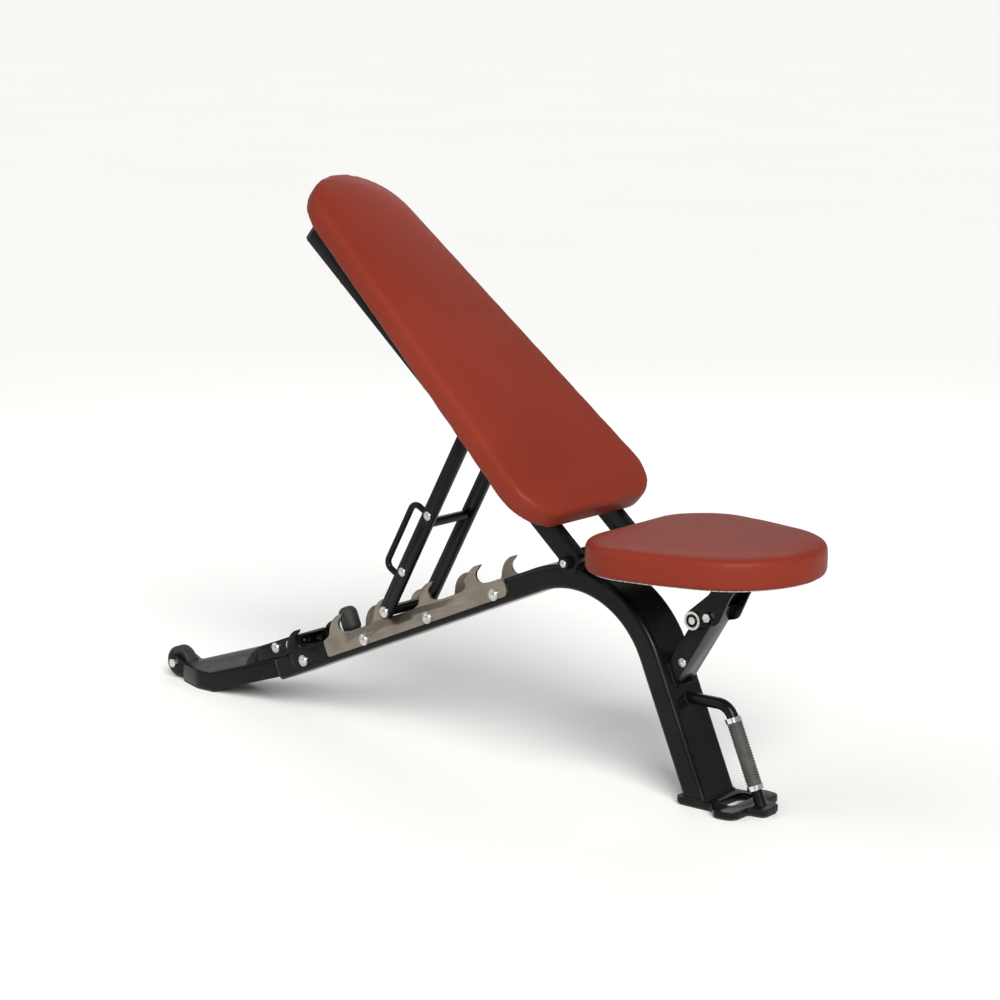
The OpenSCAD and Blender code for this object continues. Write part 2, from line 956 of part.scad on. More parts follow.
module back_board() {
    color(black_paint)
        on_back()
            difference() {
                translate([back_start, 0, pad_back])
                    linear_extrude(board_t)
                        back_outline(board_inset);
                for (s = screw_s, side = [-1, 1])
                    translate([s, side * rail_y, pad_back - 1])
                        cylinder(h = board_t - 1, r = 3);
            }
}

module back_pad_screws() {
    color(bright)
        on_back()
            for (s = screw_s, side = [-1, 1])
                translate([s, side * rail_y, 0]) {
                    translate([0, 0, rail_low - 4])
                        cylinder(h = 4, r = 6);
                    translate([0, 0, pad_back])
                        cylinder(h = board_t - 2, r = 3);
                }
}

// ---------------------------------------------------------------------------------------------
// Prop: two bars, a rung, the ladder rod and a loop handle
// ---------------------------------------------------------------------------------------------

prop_pin_r = 6;
bar_in = beam_w / 2 + plate_t + 1;
prop_top = back_point(prop_s, rail_mid);
rod = beam_point(notch_first + notch_pitch * notch_used, rod_h);
prop_vec = prop_top - rod;
prop_len = norm(prop_vec);
prop_dir = prop_vec / prop_len;
prop_side = [-prop_dir.y, prop_dir.x];

// A point of the prop, at a distance up from the rod and across towards the rear
function prop_point(up, across) = rod + prop_dir * up + prop_side * across;

module prop_bar(y0) {
    half = bar_w / 2;
    y1 = y0 + bar_t;
    color(black_paint)
        difference() {
            union() {
                slab([
                    prop_point(0, -half),
                    prop_point(prop_len, -half),
                    prop_point(prop_len, half),
                    prop_point(0, half)
                ], y0, y1);
                cross_bar(rod, half, y0, y1);
                cross_bar(prop_top, half, y0, y1);
            }
            cross_bar(rod, rod_tip_r, -2 * beam_w, 2 * beam_w);
            cross_bar(prop_top, prop_pin_r + run_gap, -2 * beam_w, 2 * beam_w);
            cross_bar(prop_point(rung_at, 0), rung_tip_r, -2 * beam_w, 2 * beam_w);
        }
}

rod_tip_r = 5;
rung_r = 8;
rung_tip_r = 5;

module prop_bar_near() { prop_bar(-bar_in - bar_t); }
module prop_bar_far() { prop_bar(bar_in); }

module prop_rung() {
    color(black_paint) {
        cross_bar(prop_point(rung_at, 0), rung_r, -bar_in, bar_in);
        cross_bar(prop_point(rung_at, 0), rung_tip_r, -bar_in - bar_t, bar_in + bar_t);
    }
}

module prop_rod() {
    color(black_paint) {
        cross_bar(rod, rod_d / 2, -bar_in, bar_in);
        cross_bar(rod, rod_tip_r, -bar_in - bar_t, bar_in + bar_t);
    }
}

module prop_rod_bolts() {
    color(bright)
        for (side = [-1, 1])
            hex_head(rod, head_w, head_h - 1, side * (bar_in + bar_t), side);
}

loop_r = 5.5;
loop_out = 27;
loop_low = 74;
loop_high = 208;
loop_bend = 14;
loop_y = -bar_in - bar_t / 2;

// A loop handle on the rear edge of the near bar
module prop_handle() {
    run = loop_high - loop_low;
    out = loop_out - loop_bend;
    color(black_paint)
        translate([0, loop_y, 0])
            translate(xz(prop_point(loop_low, bar_w / 2)))
                rotate([0, 90 - atan2(prop_dir.y, prop_dir.x), 0])
                    for (half = [0, 1])
                        translate([0, 0, half * run])
                            mirror([0, 0, half]) {
                                rotate([0, -90, 0])
                                    cylinder(h = out, r = loop_r);
                                translate([-out, 0, loop_bend])
                                    rotate([90, 0, 0])
                                        rotate([0, 0, 180])
                                            rotate_extrude(angle = 90)
                                                translate([loop_bend, 0])
                                                    circle(r = loop_r);
                                translate([-loop_out, 0, loop_bend])
                                    cylinder(h = run / 2 - loop_bend, r = loop_r);
                            }
}

module prop_handle_bolts() {
    color(bright)
        for (up = [loop_low + 14, loop_high])
            hex_head(prop_point(up, 0), head_w - 4, 4, -bar_in - bar_t, -1);
}

module prop_pin() {
    color(bright) {
        cross_bar(prop_top, prop_pin_r, -rail_out, rail_out);
        for (side = [-1, 1])
            hex_head(prop_top, head_w + 2, head_h, side * rail_out, side);
    }
}

// Spacers on the prop's pin, between each bar and its rail
module prop_spacers() {
    low = bar_in + bar_t + slide_gap;
    color(bright)
        for (side = [-1, 1])
            difference() {
                cross_bar(prop_top, prop_pin_r + 5, side > 0 ? low : -rail_in, side > 0 ? rail_in : -low);
                cross_bar(prop_top, prop_pin_r, -rail_out, rail_out);
            }
}

// ---------------------------------------------------------------------------------------------
// Seat: post, hinge, carrier, board and pad
// ---------------------------------------------------------------------------------------------

seat_under = seat_h - seat_t;
seat_tube_r = 13;
seat_pin_r = 5;
ring_r = 15;
lock_r = 4;
seat_hinge = [-21, 301];
lock_arm = [29, 9];
lock = seat_hinge + lock_arm;
post_low = 188;
post_dir = polar(1, post_angle);
post_face = [leg_half - (post_low - 1) / tan(leg_angle), post_low];
post_bolt = [post_face.x + 15, post_low + 40];
carrier_t = 5;
post_wall = 4;
carrier_in = post_w / 2 + slide_gap;
carrier_top = seat_under;

// Side outline of the seat post: it rises from the leg's front face
post_top_z = lock.y + 16;
post_half = post_t / 2 / sin(post_angle);
function post_x(z, side) = post_face.x + (z - post_low) / tan(post_angle) + side * post_half - post_half;

module seat_post() {
    color(black_paint)
        difference() {
            slab([
                [post_x(post_low - 60, -1), post_low - 60],
                [post_x(post_low - 4, 1), post_low - 4],
                [post_x(post_top_z, 1), post_top_z],
                [post_x(post_top_z, -1), post_top_z]
            ], -post_w / 2, post_w / 2);
            slab([
                [post_x(post_low - 60, -1) + post_wall, post_low - 60],
                [post_x(post_low - 4, 1) - post_wall, post_low - 4],
                [post_x(post_top_z - 40, 1) - post_wall, post_top_z - 40],
                [post_x(post_top_z - 40, -1) + post_wall, post_top_z - 40]
            ], post_wall - post_w / 2, post_w / 2 - post_wall);
            on_leg()
                translate([0, -beam_w / 2, -beam_t / 2])
                    cube([leg_top, beam_w, 4 * beam_t]);
            cross_bar(seat_hinge, seat_tube_r, -beam_w, beam_w);
            cross_bar(lock, lock_r, -beam_w, beam_w);
            cross_bar(post_bolt, lock_r, -beam_w, beam_w);
        }
}

module seat_post_bolts() {
    color(bright)
        for (side = [-1, 1]) {
            cross_bar(post_bolt, lock_r + 2, side > 0 ? post_w / 2 : -post_w / 2 - 3,
                side > 0 ? post_w / 2 + 3 : -post_w / 2);
            cross_bar(post_bolt, lock_r, side > 0 ? post_w / 2 - 9 : -post_w / 2,
                side > 0 ? post_w / 2 : 9 - post_w / 2);
        }
}

module seat_pivot_tube() {
    color(black_paint)
        difference() {
            cross_bar(seat_hinge, seat_tube_r, -post_w / 2, post_w / 2);
            cross_bar(seat_hinge, seat_pin_r + run_gap, -beam_w, beam_w);
        }
}

module seat_pivot_pin() {
    end = carrier_in + carrier_t;
    color(bright) {
        cross_bar(seat_hinge, seat_pin_r, -end, end);
        for (side = [-1, 1]) {
            cross_bar(seat_hinge, seat_pin_r + 1, side > 0 ? end : -end - 3, side > 0 ? end + 3 : -end);
            difference() {
                cross_bar(seat_hinge, ring_r, side > 0 ? end : -end - 3, side > 0 ? end + 3 : -end);
                cross_bar(seat_hinge, ring_r - 4, -beam_w, beam_w);
            }
        }
    }
}

// The slot that the lock bolt runs in while the seat tilts
module lock_slot() {
    arm = norm(lock_arm);
    start = atan2(lock_arm.y, lock_arm.x);
    wide = lock_r + slide_gap;
    for (a = [start, start - seat_tilt])
        cross_bar(seat_hinge + polar(arm, a), wide, -beam_w, beam_w);
    translate(xz(seat_hinge))
        rotate([90, 0, 0])
            rotate([0, 0, start - seat_tilt])
                rotate_extrude(angle = seat_tilt, $fn = 128)
                    translate([arm - wide, -beam_w])
                        square([2 * wide, 2 * beam_w]);
}

carrier_len = 190;
carrier_flange = 26;
carrier_rear = seat_hinge.x - 62;

module seat_carrier() {
    top = carrier_top - carrier_t;
    end = carrier_in + carrier_t;
    color(black_paint) {
        difference() {
            for (y = [-end, carrier_in])
                slab(rounded([
                    [seat_hinge.x + 42, top, 0],
                    [seat_hinge.x + 33, top - 28, 30],
                    [seat_hinge.x - 17, seat_hinge.y + 7, 12],
                    [seat_hinge.x - 10, seat_hinge.y - 16, 12],
                    [lock.x + 18, lock.y - 10, 14],
                    [lock.x + 38, lock.y + 32, 30],
                    [lock.x + 60, top, 0]
                ]), y, y + carrier_t);
            cross_bar(seat_hinge, seat_pin_r, -beam_w, beam_w);
            lock_slot();
        }
        translate([carrier_rear, -end - carrier_flange, top])
            cube([carrier_len, 2 * (end + carrier_flange), carrier_t]);
    }
}

seat_screw_x = [carrier_rear + 16, carrier_rear + carrier_len - 16];
seat_screw_y = carrier_in + carrier_t + carrier_flange / 2;

module seat_pad() {
    color(vinyl)
        translate([seat_x, 0, seat_under])
            difference() {
                linear_extrude(seat_t)
                    seat_outline(0);
                translate([0, 0, -1])
                    linear_extrude(board_t + 1)
                        seat_outline(board_inset);
            }
}

module seat_board() {
    color(black_paint)
        difference() {
            translate([seat_x, 0, seat_under])
                linear_extrude(board_t)
                    seat_outline(board_inset);
            for (x = seat_screw_x, side = [-1, 1])
                translate([x, side * seat_screw_y, seat_under - 1])
                    cylinder(h = board_t - 1, r = 3);
        }
}

module seat_pad_screws() {
    color(bright)
        for (x = seat_screw_x, side = [-1, 1])
            translate([x, side * seat_screw_y, seat_under]) {
                translate([0, 0, -carrier_t - 4])
                    cylinder(h = 4, r = 6);
                cylinder(h = board_t - 2, r = 3);
            }
}

knob_r = 14.5;
knob_h = 16;
bolt_end = carrier_in + carrier_t + slide_gap;

module seat_lock_bolt() {
    color(bright) {
        cross_bar(lock, lock_r, -bolt_end, bolt_end + knob_h / 2);
        hex_head(lock, head_w - 2, 5, -bolt_end, -1);
    }
}

// A lobed hand knob that clamps the seat's tilt
module seat_knob() {
    lobes = 5;
    color(rubber)
        difference() {
            union() {
                cross_bar(lock, knob_r - 3, bolt_end, bolt_end + knob_h);
                for (i = [0:lobes - 1])
                    cross_bar(lock + polar(knob_r - 6, i * 360 / lobes), 6, bolt_end + 2, bolt_end + knob_h - 2);
            }
            cross_bar(lock, lock_r + run_gap, 0, bolt_end + knob_h / 2 + slide_gap);
        }
}

main_beam();
beam_end_plug();
tail_tube();
tail_cover();
tail_bracket();
tail_bracket_bolts();
rear_sole();
wheel_cheeks();
wheel_axle();
wheel_hub();
wheel_tyre();
ladder_plate_near();
ladder_plate_far();
rear_catch_near();
rear_catch_far();
ladder_bolts();
rest_bumper();
front_foot();
front_sole();
handle_stub();
handle_elbow();
handle_tube();
handle_grip();
handle_collar_top();
handle_collar_bottom();
pivot_saddle();
pivot_tube();
pivot_bush_near();
pivot_bush_far();
back_pivot_pin();
back_rail_near();
back_rail_far();
back_cross_low();
back_cross_high();
back_board();
back_pad();
back_pad_screws();
rail_caps();
prop_bar_near();
prop_bar_far();
prop_rung();
prop_rod();
prop_rod_bolts();
prop_handle();
prop_handle_bolts();
prop_pin();
prop_spacers();
seat_post();
seat_post_bolts();
seat_pivot_tube();
seat_pivot_pin();
seat_carrier();
seat_board();
seat_pad();
seat_pad_screws();
seat_lock_bolt();
seat_knob();
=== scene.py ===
"""The looks of an adjustable weight bench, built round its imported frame.

Metres. +X points from the rear wheel to the front foot, +Y across the bench and +Z up. The frame is
painted flat tube, the ladder is stainless plate, and the pads are foam on plywood under red vinyl.
"""

import json
import math

import bmesh
import bpy
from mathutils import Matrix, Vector


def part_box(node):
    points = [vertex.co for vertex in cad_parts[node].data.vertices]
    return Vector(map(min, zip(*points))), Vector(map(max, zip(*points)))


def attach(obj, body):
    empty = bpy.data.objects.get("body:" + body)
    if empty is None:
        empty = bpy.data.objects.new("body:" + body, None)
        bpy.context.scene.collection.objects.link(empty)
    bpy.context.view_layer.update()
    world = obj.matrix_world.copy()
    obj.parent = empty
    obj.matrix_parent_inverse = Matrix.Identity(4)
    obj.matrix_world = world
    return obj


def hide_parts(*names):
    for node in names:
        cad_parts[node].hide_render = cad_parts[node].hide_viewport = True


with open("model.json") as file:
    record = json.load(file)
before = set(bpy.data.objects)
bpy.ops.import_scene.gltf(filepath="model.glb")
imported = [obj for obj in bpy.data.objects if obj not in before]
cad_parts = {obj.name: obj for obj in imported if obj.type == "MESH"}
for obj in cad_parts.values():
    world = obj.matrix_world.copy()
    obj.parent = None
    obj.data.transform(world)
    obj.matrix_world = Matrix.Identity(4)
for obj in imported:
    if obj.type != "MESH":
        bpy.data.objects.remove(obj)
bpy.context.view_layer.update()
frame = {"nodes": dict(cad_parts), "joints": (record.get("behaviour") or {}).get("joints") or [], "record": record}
nodes = frame["nodes"]
joints = {joint["name"]: joint for joint in frame["joints"]}
body_of = {node: body for body, row in frame["record"]["behaviour"]["bodies"].items() for node in row}
slot_of = {row["node"]: row["material_slot"] for row in frame["record"]["subparts"]}

# ---------------------------------------------------------------------------------------------
# Camera, floor and lights
# ---------------------------------------------------------------------------------------------

CAMERA_PLACE = (2.277, -3.310, 1.286)
CAMERA_YAW = 39.37
CAMERA_PITCH = -11.21
CAMERA_LENS = 93.85
FAR_CLIP = 2000
FLOOR_SIZE = 500.0
FLOOR_COLOUR = (0.86, 0.86, 0.85)
HORIZON = (0.50, 0.505, 0.515, 1)
ZENITH = (0.24, 0.245, 0.25, 1)
SKY_FADE = (0.02, 0.62)
BENCH_MIDDLE = (-0.45, 0, 0.4)
LEG_MIDDLE = (-0.1, 0, 0.25)


def set_camera():
    """The bench from its front near quarter, a little above it."""
    data = bpy.data.cameras.new("bench_camera")
    data.lens = CAMERA_LENS
    data.clip_end = FAR_CLIP
    camera = bpy.data.objects.new("bench_camera", data)
    camera.location = CAMERA_PLACE
    camera.rotation_euler = (math.radians(90 + CAMERA_PITCH), 0, math.radians(CAMERA_YAW))
    bpy.context.scene.collection.objects.link(camera)
    bpy.context.scene.camera = camera


def softbox(name, place, target, size, power):
    """A rectangular lamp of size (across, up) that faces its target."""
    data = bpy.data.lights.new(name, "AREA")
    data.shape = "RECTANGLE"
    data.size, data.size_y = size
    data.energy = power
    lamp = bpy.data.objects.new(name, data)
    lamp.location = place
    aim = Vector(target) - Vector(place)
    lamp.rotation_euler = aim.to_track_quat("-Z", "Y").to_euler()
    bpy.context.scene.collection.objects.link(lamp)


def sun(name, towards, strength, spread, colour=(1, 1, 1)):
    """A broad soft light from one direction, equally strong everywhere on the floor."""
    data = bpy.data.lights.new(name, "SUN")
    data.energy = strength
    data.angle = math.radians(spread)
    data.color = colour
    lamp = bpy.data.objects.new(name, data)
    lamp.rotation_euler = Vector(towards).to_track_quat("Z", "Y").to_euler()
    bpy.context.scene.collection.objects.link(lamp)


def set_studio():
    """A grey sky, paler at the horizon, with two suns, a light behind and a strip in front."""
    world = bpy.data.worlds.new("studio")
    bpy.context.scene.world = world
    world.use_nodes = True
    sky = Tree(world.node_tree)
    background = world.node_tree.nodes["Background"]
    way = sky.add("ShaderNodeTexCoord", output="Generated")
    height = sky.add("ShaderNodeSeparateXYZ", {}, [way], output=2)
    inputs = {0: sky.add("ShaderNodeMapRange", {}, [height, *SKY_FADE]), 6: HORIZON, 7: ZENITH}
    sky.feed(background.inputs["Color"], sky.add("ShaderNodeMix", {"data_type": "RGBA"}, inputs, 2))
    sun("key_light", (0.75, -0.60, 0.70), 3.6, 34, (1, 0.985, 0.96))
    sun("fill_light", (-0.7, -0.55, 0.75), 0.8, 60)
    softbox("edge_light", (-2.2, 2.6, 2.6), BENCH_MIDDLE, (2.2, 1.0), 18)
    softbox("front_strip", (1.9, -2.4, 1.5), LEG_MIDDLE, (0.16, 1.6), 13)
    view = bpy.context.scene.view_settings
    view.view_transform = "Standard"
    view.look = "None"


# ---------------------------------------------------------------------------------------------
# Node trees written as expressions
# ---------------------------------------------------------------------------------------------


class Wire:
    """A value in a node tree. Expressions on it add Math nodes."""

    def __init__(self, tree, socket):
        self.tree, self.socket = tree, socket

    def _math(self, operation, first, second):
        return self.tree.add("ShaderNodeMath", {"operation": operation}, [first, second])

    def __add__(self, other):
        return self._math("ADD", self, other)

    def __rsub__(self, other):
        return self._math("SUBTRACT", other, self)

    def __mul__(self, other):
        return self._math("MULTIPLY", self, other)

    __radd__ = __add__
    __rmul__ = __mul__


class Tree:
    """A node tree that is built by adding one node at a time."""

    def __init__(self, node_tree):
        self.nodes, self.links = node_tree.nodes, node_tree.links

    def feed(self, socket, value):
        if isinstance(value, Wire):
            self.links.new(value.socket, socket)
        else:
            socket.default_value = value

    def add(self, kind, settings=None, inputs=(), output=0):
        node = self.nodes.new(kind)
        for key, value in (settings or {}).items():
            setattr(node, key, value)
        for key, value in inputs.items() if isinstance(inputs, dict) else enumerate(inputs):
            self.feed(node.inputs[key], value)
        return Wire(self, node.outputs[output])


class Finish(Tree):
    """A material with a Principled shader, and the textures that vary it."""

    def __init__(self, name, colour, roughness, **fixed):
        self.material = bpy.data.materials.new(name)
        self.material.use_nodes = True
        super().__init__(self.material.node_tree)
        self.nodes.clear()
        self.shader = self.nodes.new("ShaderNodeBsdfPrincipled")
        output = self.nodes.new("ShaderNodeOutputMaterial")
        self.links.new(self.shader.outputs[0], output.inputs[0])
        self.place = self.add("ShaderNodeTexCoord", output="Object")
        self.set(Base_Color=(*colour, 1), Roughness=roughness, **fixed)

    def set(self, **values):
        """Feeds the shader's sockets, whose names are written with underscores."""
        for key, value in values.items():
            self.feed(self.shader.inputs[key.replace("_", " ")], value)

    def stretched(self, scale, turn=(0, 0, 0)):
        """The place scaled along each axis, after a turn in degrees."""
        turn = [math.radians(angle) for angle in turn]
        inputs = {"Vector": self.place, "Rotation": turn, "Scale": scale}
        return self.add("ShaderNodeMapping", {}, inputs)

    def cloud(self, scale, detail=3, place=None):
        """Noise of about 0.5 with features of 1 / scale metres."""
        inputs = {"Vector": place or self.place, "Scale": scale, "Detail": detail}
        return self.add("ShaderNodeTexNoise", {}, inputs)

    def cells(self, scale):
        """Distance to the middle of the nearest of many small cells."""
        inputs = {"Vector": self.place, "Scale": scale}
        return self.add("ShaderNodeTexVoronoi", {"feature": "F1"}, inputs)

    def between(self, value, low, high):
        """value from low to high, rescaled from 0 to 1 and held there outside."""
        return self.add("ShaderNodeMapRange", {"clamp": True}, [value, low, high])

    def tint(self, factor, first, second):
        """A colour from first to second, by a factor from 0 to 1."""
        colours = [c if isinstance(c, Wire) else (*c, 1) for c in (first, second)]
        inputs = {0: factor, 6: colours[0], 7: colours[1]}
        return self.add("ShaderNodeMix", {"data_type": "RGBA"}, inputs, output=2)

    def bump(self, height, distance, strength=1.0):
        inputs = {"Strength": strength, "Distance": distance, "Height": height}
        self.set(Normal=self.add("ShaderNodeBump", {}, inputs))


# ---------------------------------------------------------------------------------------------
# Finishes
# ---------------------------------------------------------------------------------------------

# Slopes of the beam and of the backrest above the floor, in degrees
BEAM_SLOPE = 23
BACK_SLOPE = 41.2

def red_vinyl():
    """Oxblood vinyl with a fine pebble grain, rubbed a little lighter in places; the grain's creases are darkened
    as painted shade.
    """
    paint = Finish(
        "red_vinyl", (0.20, 0.027, 0.013), 0.4, Coat_Roughness=0.22, Specular_IOR_Level=0.09
    )
    pebble = paint.cells(900)
    crease = paint.between(pebble, 0.05, 0.62)
    fine = paint.cloud(2600, 2)
    patch = paint.between(paint.cloud(4, 3), 0.3, 0.7)
    body = paint.tint(patch, (0.180, 0.0225, 0.0105), (0.220, 0.029, 0.0145))
    # The creases between the grain's pebbles are mixed towards a darker red: painted shade in the hollows
    paint.set(
        Base_Color=paint.tint(crease * 0.3, body, (0.12, 0.014, 0.007)),
        Roughness=0.38 + 0.10 * crease + 0.06 * patch,
        Coat_Weight=0.02 + 0.04 * patch,
    )
    paint.bump((1 - crease) + 0.3 * fine, 0.00016, 0.45)
    return paint.material


def black_paint():
    """Gloss black powder coat: slight orange peel, a little dust and hairline scuffs."""
    paint = Finish("black_paint", (0.004, 0.004, 0.004), 0.2, Specular_IOR_Level=0.15)
    peel = paint.cloud(420, 2)
    dust = paint.between(paint.cloud(14, 6), 0.46, 0.74)
    scuff_place = paint.stretched((900, 60, 60), (0, BEAM_SLOPE, 0))
    scuff = paint.between(paint.cloud(1, 3, scuff_place), 0.66, 0.74)
    paint.set(
        Base_Color=paint.tint(
            dust * 0.25 + scuff * 0.08, (0.0036, 0.0036, 0.0036), (0.017, 0.0165, 0.015)
        ),
        Roughness=0.17 + 0.13 * dust + 0.15 * scuff,
    )
    paint.bump(peel, 0.00012, 0.5)
    return paint.material


def grey_cover():
    """Satin grey coat of the crowned tail cover, scuffed where it is dragged."""
    paint = Finish("grey_cover", (0.05, 0.049, 0.046), 0.4, Specular_IOR_Level=0.3)
    rub = paint.between(paint.cloud(1, 4, paint.stretched((30, 160, 30))), 0.5, 0.75)
    paint.set(
        Base_Color=paint.tint(rub, (0.036, 0.0355, 0.0335), (0.064, 0.063, 0.059)),
        Roughness=0.34 + 0.2 * rub,
    )
    paint.bump(paint.cloud(700, 2), 0.0001, 0.6)
    return paint.material


def brushed_steel():
    """Warm stainless plate, brushed along the beam, with darker handling marks."""
    paint = Finish("brushed_steel", (0.33, 0.29, 0.235), 0.38, Metallic=1.0)
    brush = paint.cloud(1, 4, paint.stretched((18, 900, 1500), (0, BEAM_SLOPE, 0)))
    smear = paint.between(paint.cloud(22, 4), 0.4, 0.72)
    lines = paint.between(brush, 0.35, 0.65)
    body = paint.tint(lines, (0.235, 0.205, 0.165), (0.325, 0.288, 0.237))
    paint.set(
        Base_Color=paint.tint(smear * 0.5, body, (0.18, 0.155, 0.125)),
        Roughness=0.30 + 0.16 * lines + 0.10 * smear,
    )
    paint.bump(brush, 0.00006, 0.7)
    return paint.material


def bright_zinc():
    """Zinc-plated hardware: bright, slightly cloudy, with fine turning marks."""
    paint = Finish("bright_zinc", (0.62, 0.62, 0.60), 0.25, Metallic=1.0)
    cloudy = paint.between(paint.cloud(160, 4), 0.35, 0.7)
    paint.set(
        Base_Color=paint.tint(cloudy, (0.66, 0.66, 0.645), (0.45, 0.445, 0.42)),
        Roughness=0.20 + 0.16 * cloudy,
    )
    paint.bump(paint.cloud(1900, 2), 0.00004, 0.6)
    return paint.material


def chrome():
    """Polished collars, with faint smears of fingers."""
    paint = Finish("chrome", (0.78, 0.78, 0.79), 0.08, Metallic=1.0)
    smear = paint.between(paint.cloud(90, 5), 0.45, 0.7)
    paint.set(
        Base_Color=paint.tint(smear, (0.80, 0.80, 0.81), (0.70, 0.70, 0.69)),
        Roughness=0.06 + 0.14 * smear,
    )
    paint.bump(paint.cloud(1200, 1), 0.00001, 0.5)
    return paint.material


def soft_rubber(name, dark, pale, roughness):
    """Moulded rubber with a fine matt skin and dust in its hollows."""
    paint = Finish(name, dark, roughness, Specular_IOR_Level=0.4)
    dust = paint.between(paint.cloud(35, 5), 0.42, 0.75)
    skin = paint.cloud(2200, 3)
    paint.set(
        Base_Color=paint.tint(dust * 0.6, dark, pale),
        Roughness=roughness - 0.06 + 0.16 * dust,
    )
    paint.bump(skin, 0.00012, 0.7)
    return paint.material


def stained_board():
    """Black-stained plywood, with the grain along the bench showing through."""
    paint = Finish("stained_board", (0.02, 0.018, 0.016), 0.7)
    grain = paint.cloud(1, 5, paint.stretched((12, 260, 12), (0, round(BACK_SLOPE), 0)))
    streak = paint.between(grain, 0.4, 0.68)
    paint.set(
        Base_Color=paint.tint(streak, (0.012, 0.011, 0.010), (0.045, 0.036, 0.028)),
        Roughness=0.62 + 0.18 * streak,
    )
    paint.bump(grain, 0.0003, 0.6)
    return paint.material


def pale_floor():
    """Matt studio floor, very faintly clouded."""
    paint = Finish("pale_floor", FLOOR_COLOUR, 0.9, Specular_IOR_Level=0.1)
    paint.set(Base_Color=paint.tint(paint.cloud(0.6, 2), (0.85, 0.85, 0.84), (0.88, 0.88, 0.87)))
    return paint.material


FINISHES = {
    "vinyl": red_vinyl(),
    "black_paint": black_paint(),
    "tail_cover": grey_cover(),
    "ladder_steel": brushed_steel(),
    "bright_steel": bright_zinc(),
    "chrome": chrome(),
    "grip": soft_rubber("grey_grip", (0.045, 0.044, 0.042), (0.10, 0.098, 0.094), 0.55),
    "rubber": soft_rubber("black_rubber", (0.014, 0.014, 0.014), (0.05, 0.05, 0.048), 0.66),
    "hard_plastic": soft_rubber("black_plastic", (0.02, 0.02, 0.021), (0.05, 0.05, 0.05), 0.42),
    "board": stained_board(),
}


# ---------------------------------------------------------------------------------------------
# Mesh helpers
# ---------------------------------------------------------------------------------------------

# Points nearer than this are one point
MERGE = 1e-6
# Edges sharper than this stay sharp, in degrees: on lofts, on what grows on guides, on parts
# with rounded edges and on pads
SMOOTH_ANGLE = 35
GROWN_ANGLE = 40
EASED_ANGLE = 32
PAD_ANGLE = 60
# Faces that meet at less than the first angle are made one, and edges sharper than the second
# are rounded over
FLAT_ANGLE = 0.4
CORNER_ANGLE = 38


def add_object(name, mesh):
    made = bpy.data.objects.new(name, mesh)
    bpy.context.scene.collection.objects.link(made)
    return made


def smooth(mesh, angle=SMOOTH_ANGLE):
    """Smooth shading, but for edges sharper than an angle in degrees."""
    mesh.polygons.foreach_set("use_smooth", [True] * len(mesh.polygons))
    mesh.set_sharp_from_angle(angle=math.radians(angle))


def piece(name, mesh, body, slot, replaces=()):
    """A finished mesh that rides on a body, in the finish of one of the record's slots."""
    mesh.materials.clear()
    mesh.materials.append(FINISHES[slot])
    made = add_object(name, mesh)
    if replaces:
        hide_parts(*replaces)
    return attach(made, body)


def mesh_from(shape, name):
    """A bmesh as a mesh with outward normals and no doubled points."""
    bmesh.ops.remove_doubles(shape, verts=shape.verts, dist=MERGE)
    bmesh.ops.recalc_face_normals(shape, faces=shape.faces)
    mesh = bpy.data.meshes.new(name)
    shape.to_mesh(mesh)
    shape.free()
    smooth(mesh)
    return mesh


def evaluated_mesh(made, name):
    """The mesh an object has with its modifiers, which are then gone with the object."""
    graph = bpy.context.evaluated_depsgraph_get()
    mesh = bpy.data.meshes.new_from_object(made.evaluated_get(graph))
    mesh.name = name
    bpy.data.objects.remove(made)
    return mesh


def loft(rings, name):
    """A skin over rings of equally many points, with its two ends filled."""
    shape = bmesh.new()
    rows = [[shape.verts.new(p) for p in ring] for ring in rings]
    count = len(rows[0])
    for low, high in zip(rows, rows[1:]):
        for i in range(count):
            j = (i + 1) % count
            shape.faces.new((low[i], low[j], high[j], high[i]))
    shape.faces.new(rows[0][::-1])
    shape.faces.new(rows[-1])
    return mesh_from(shape, name)


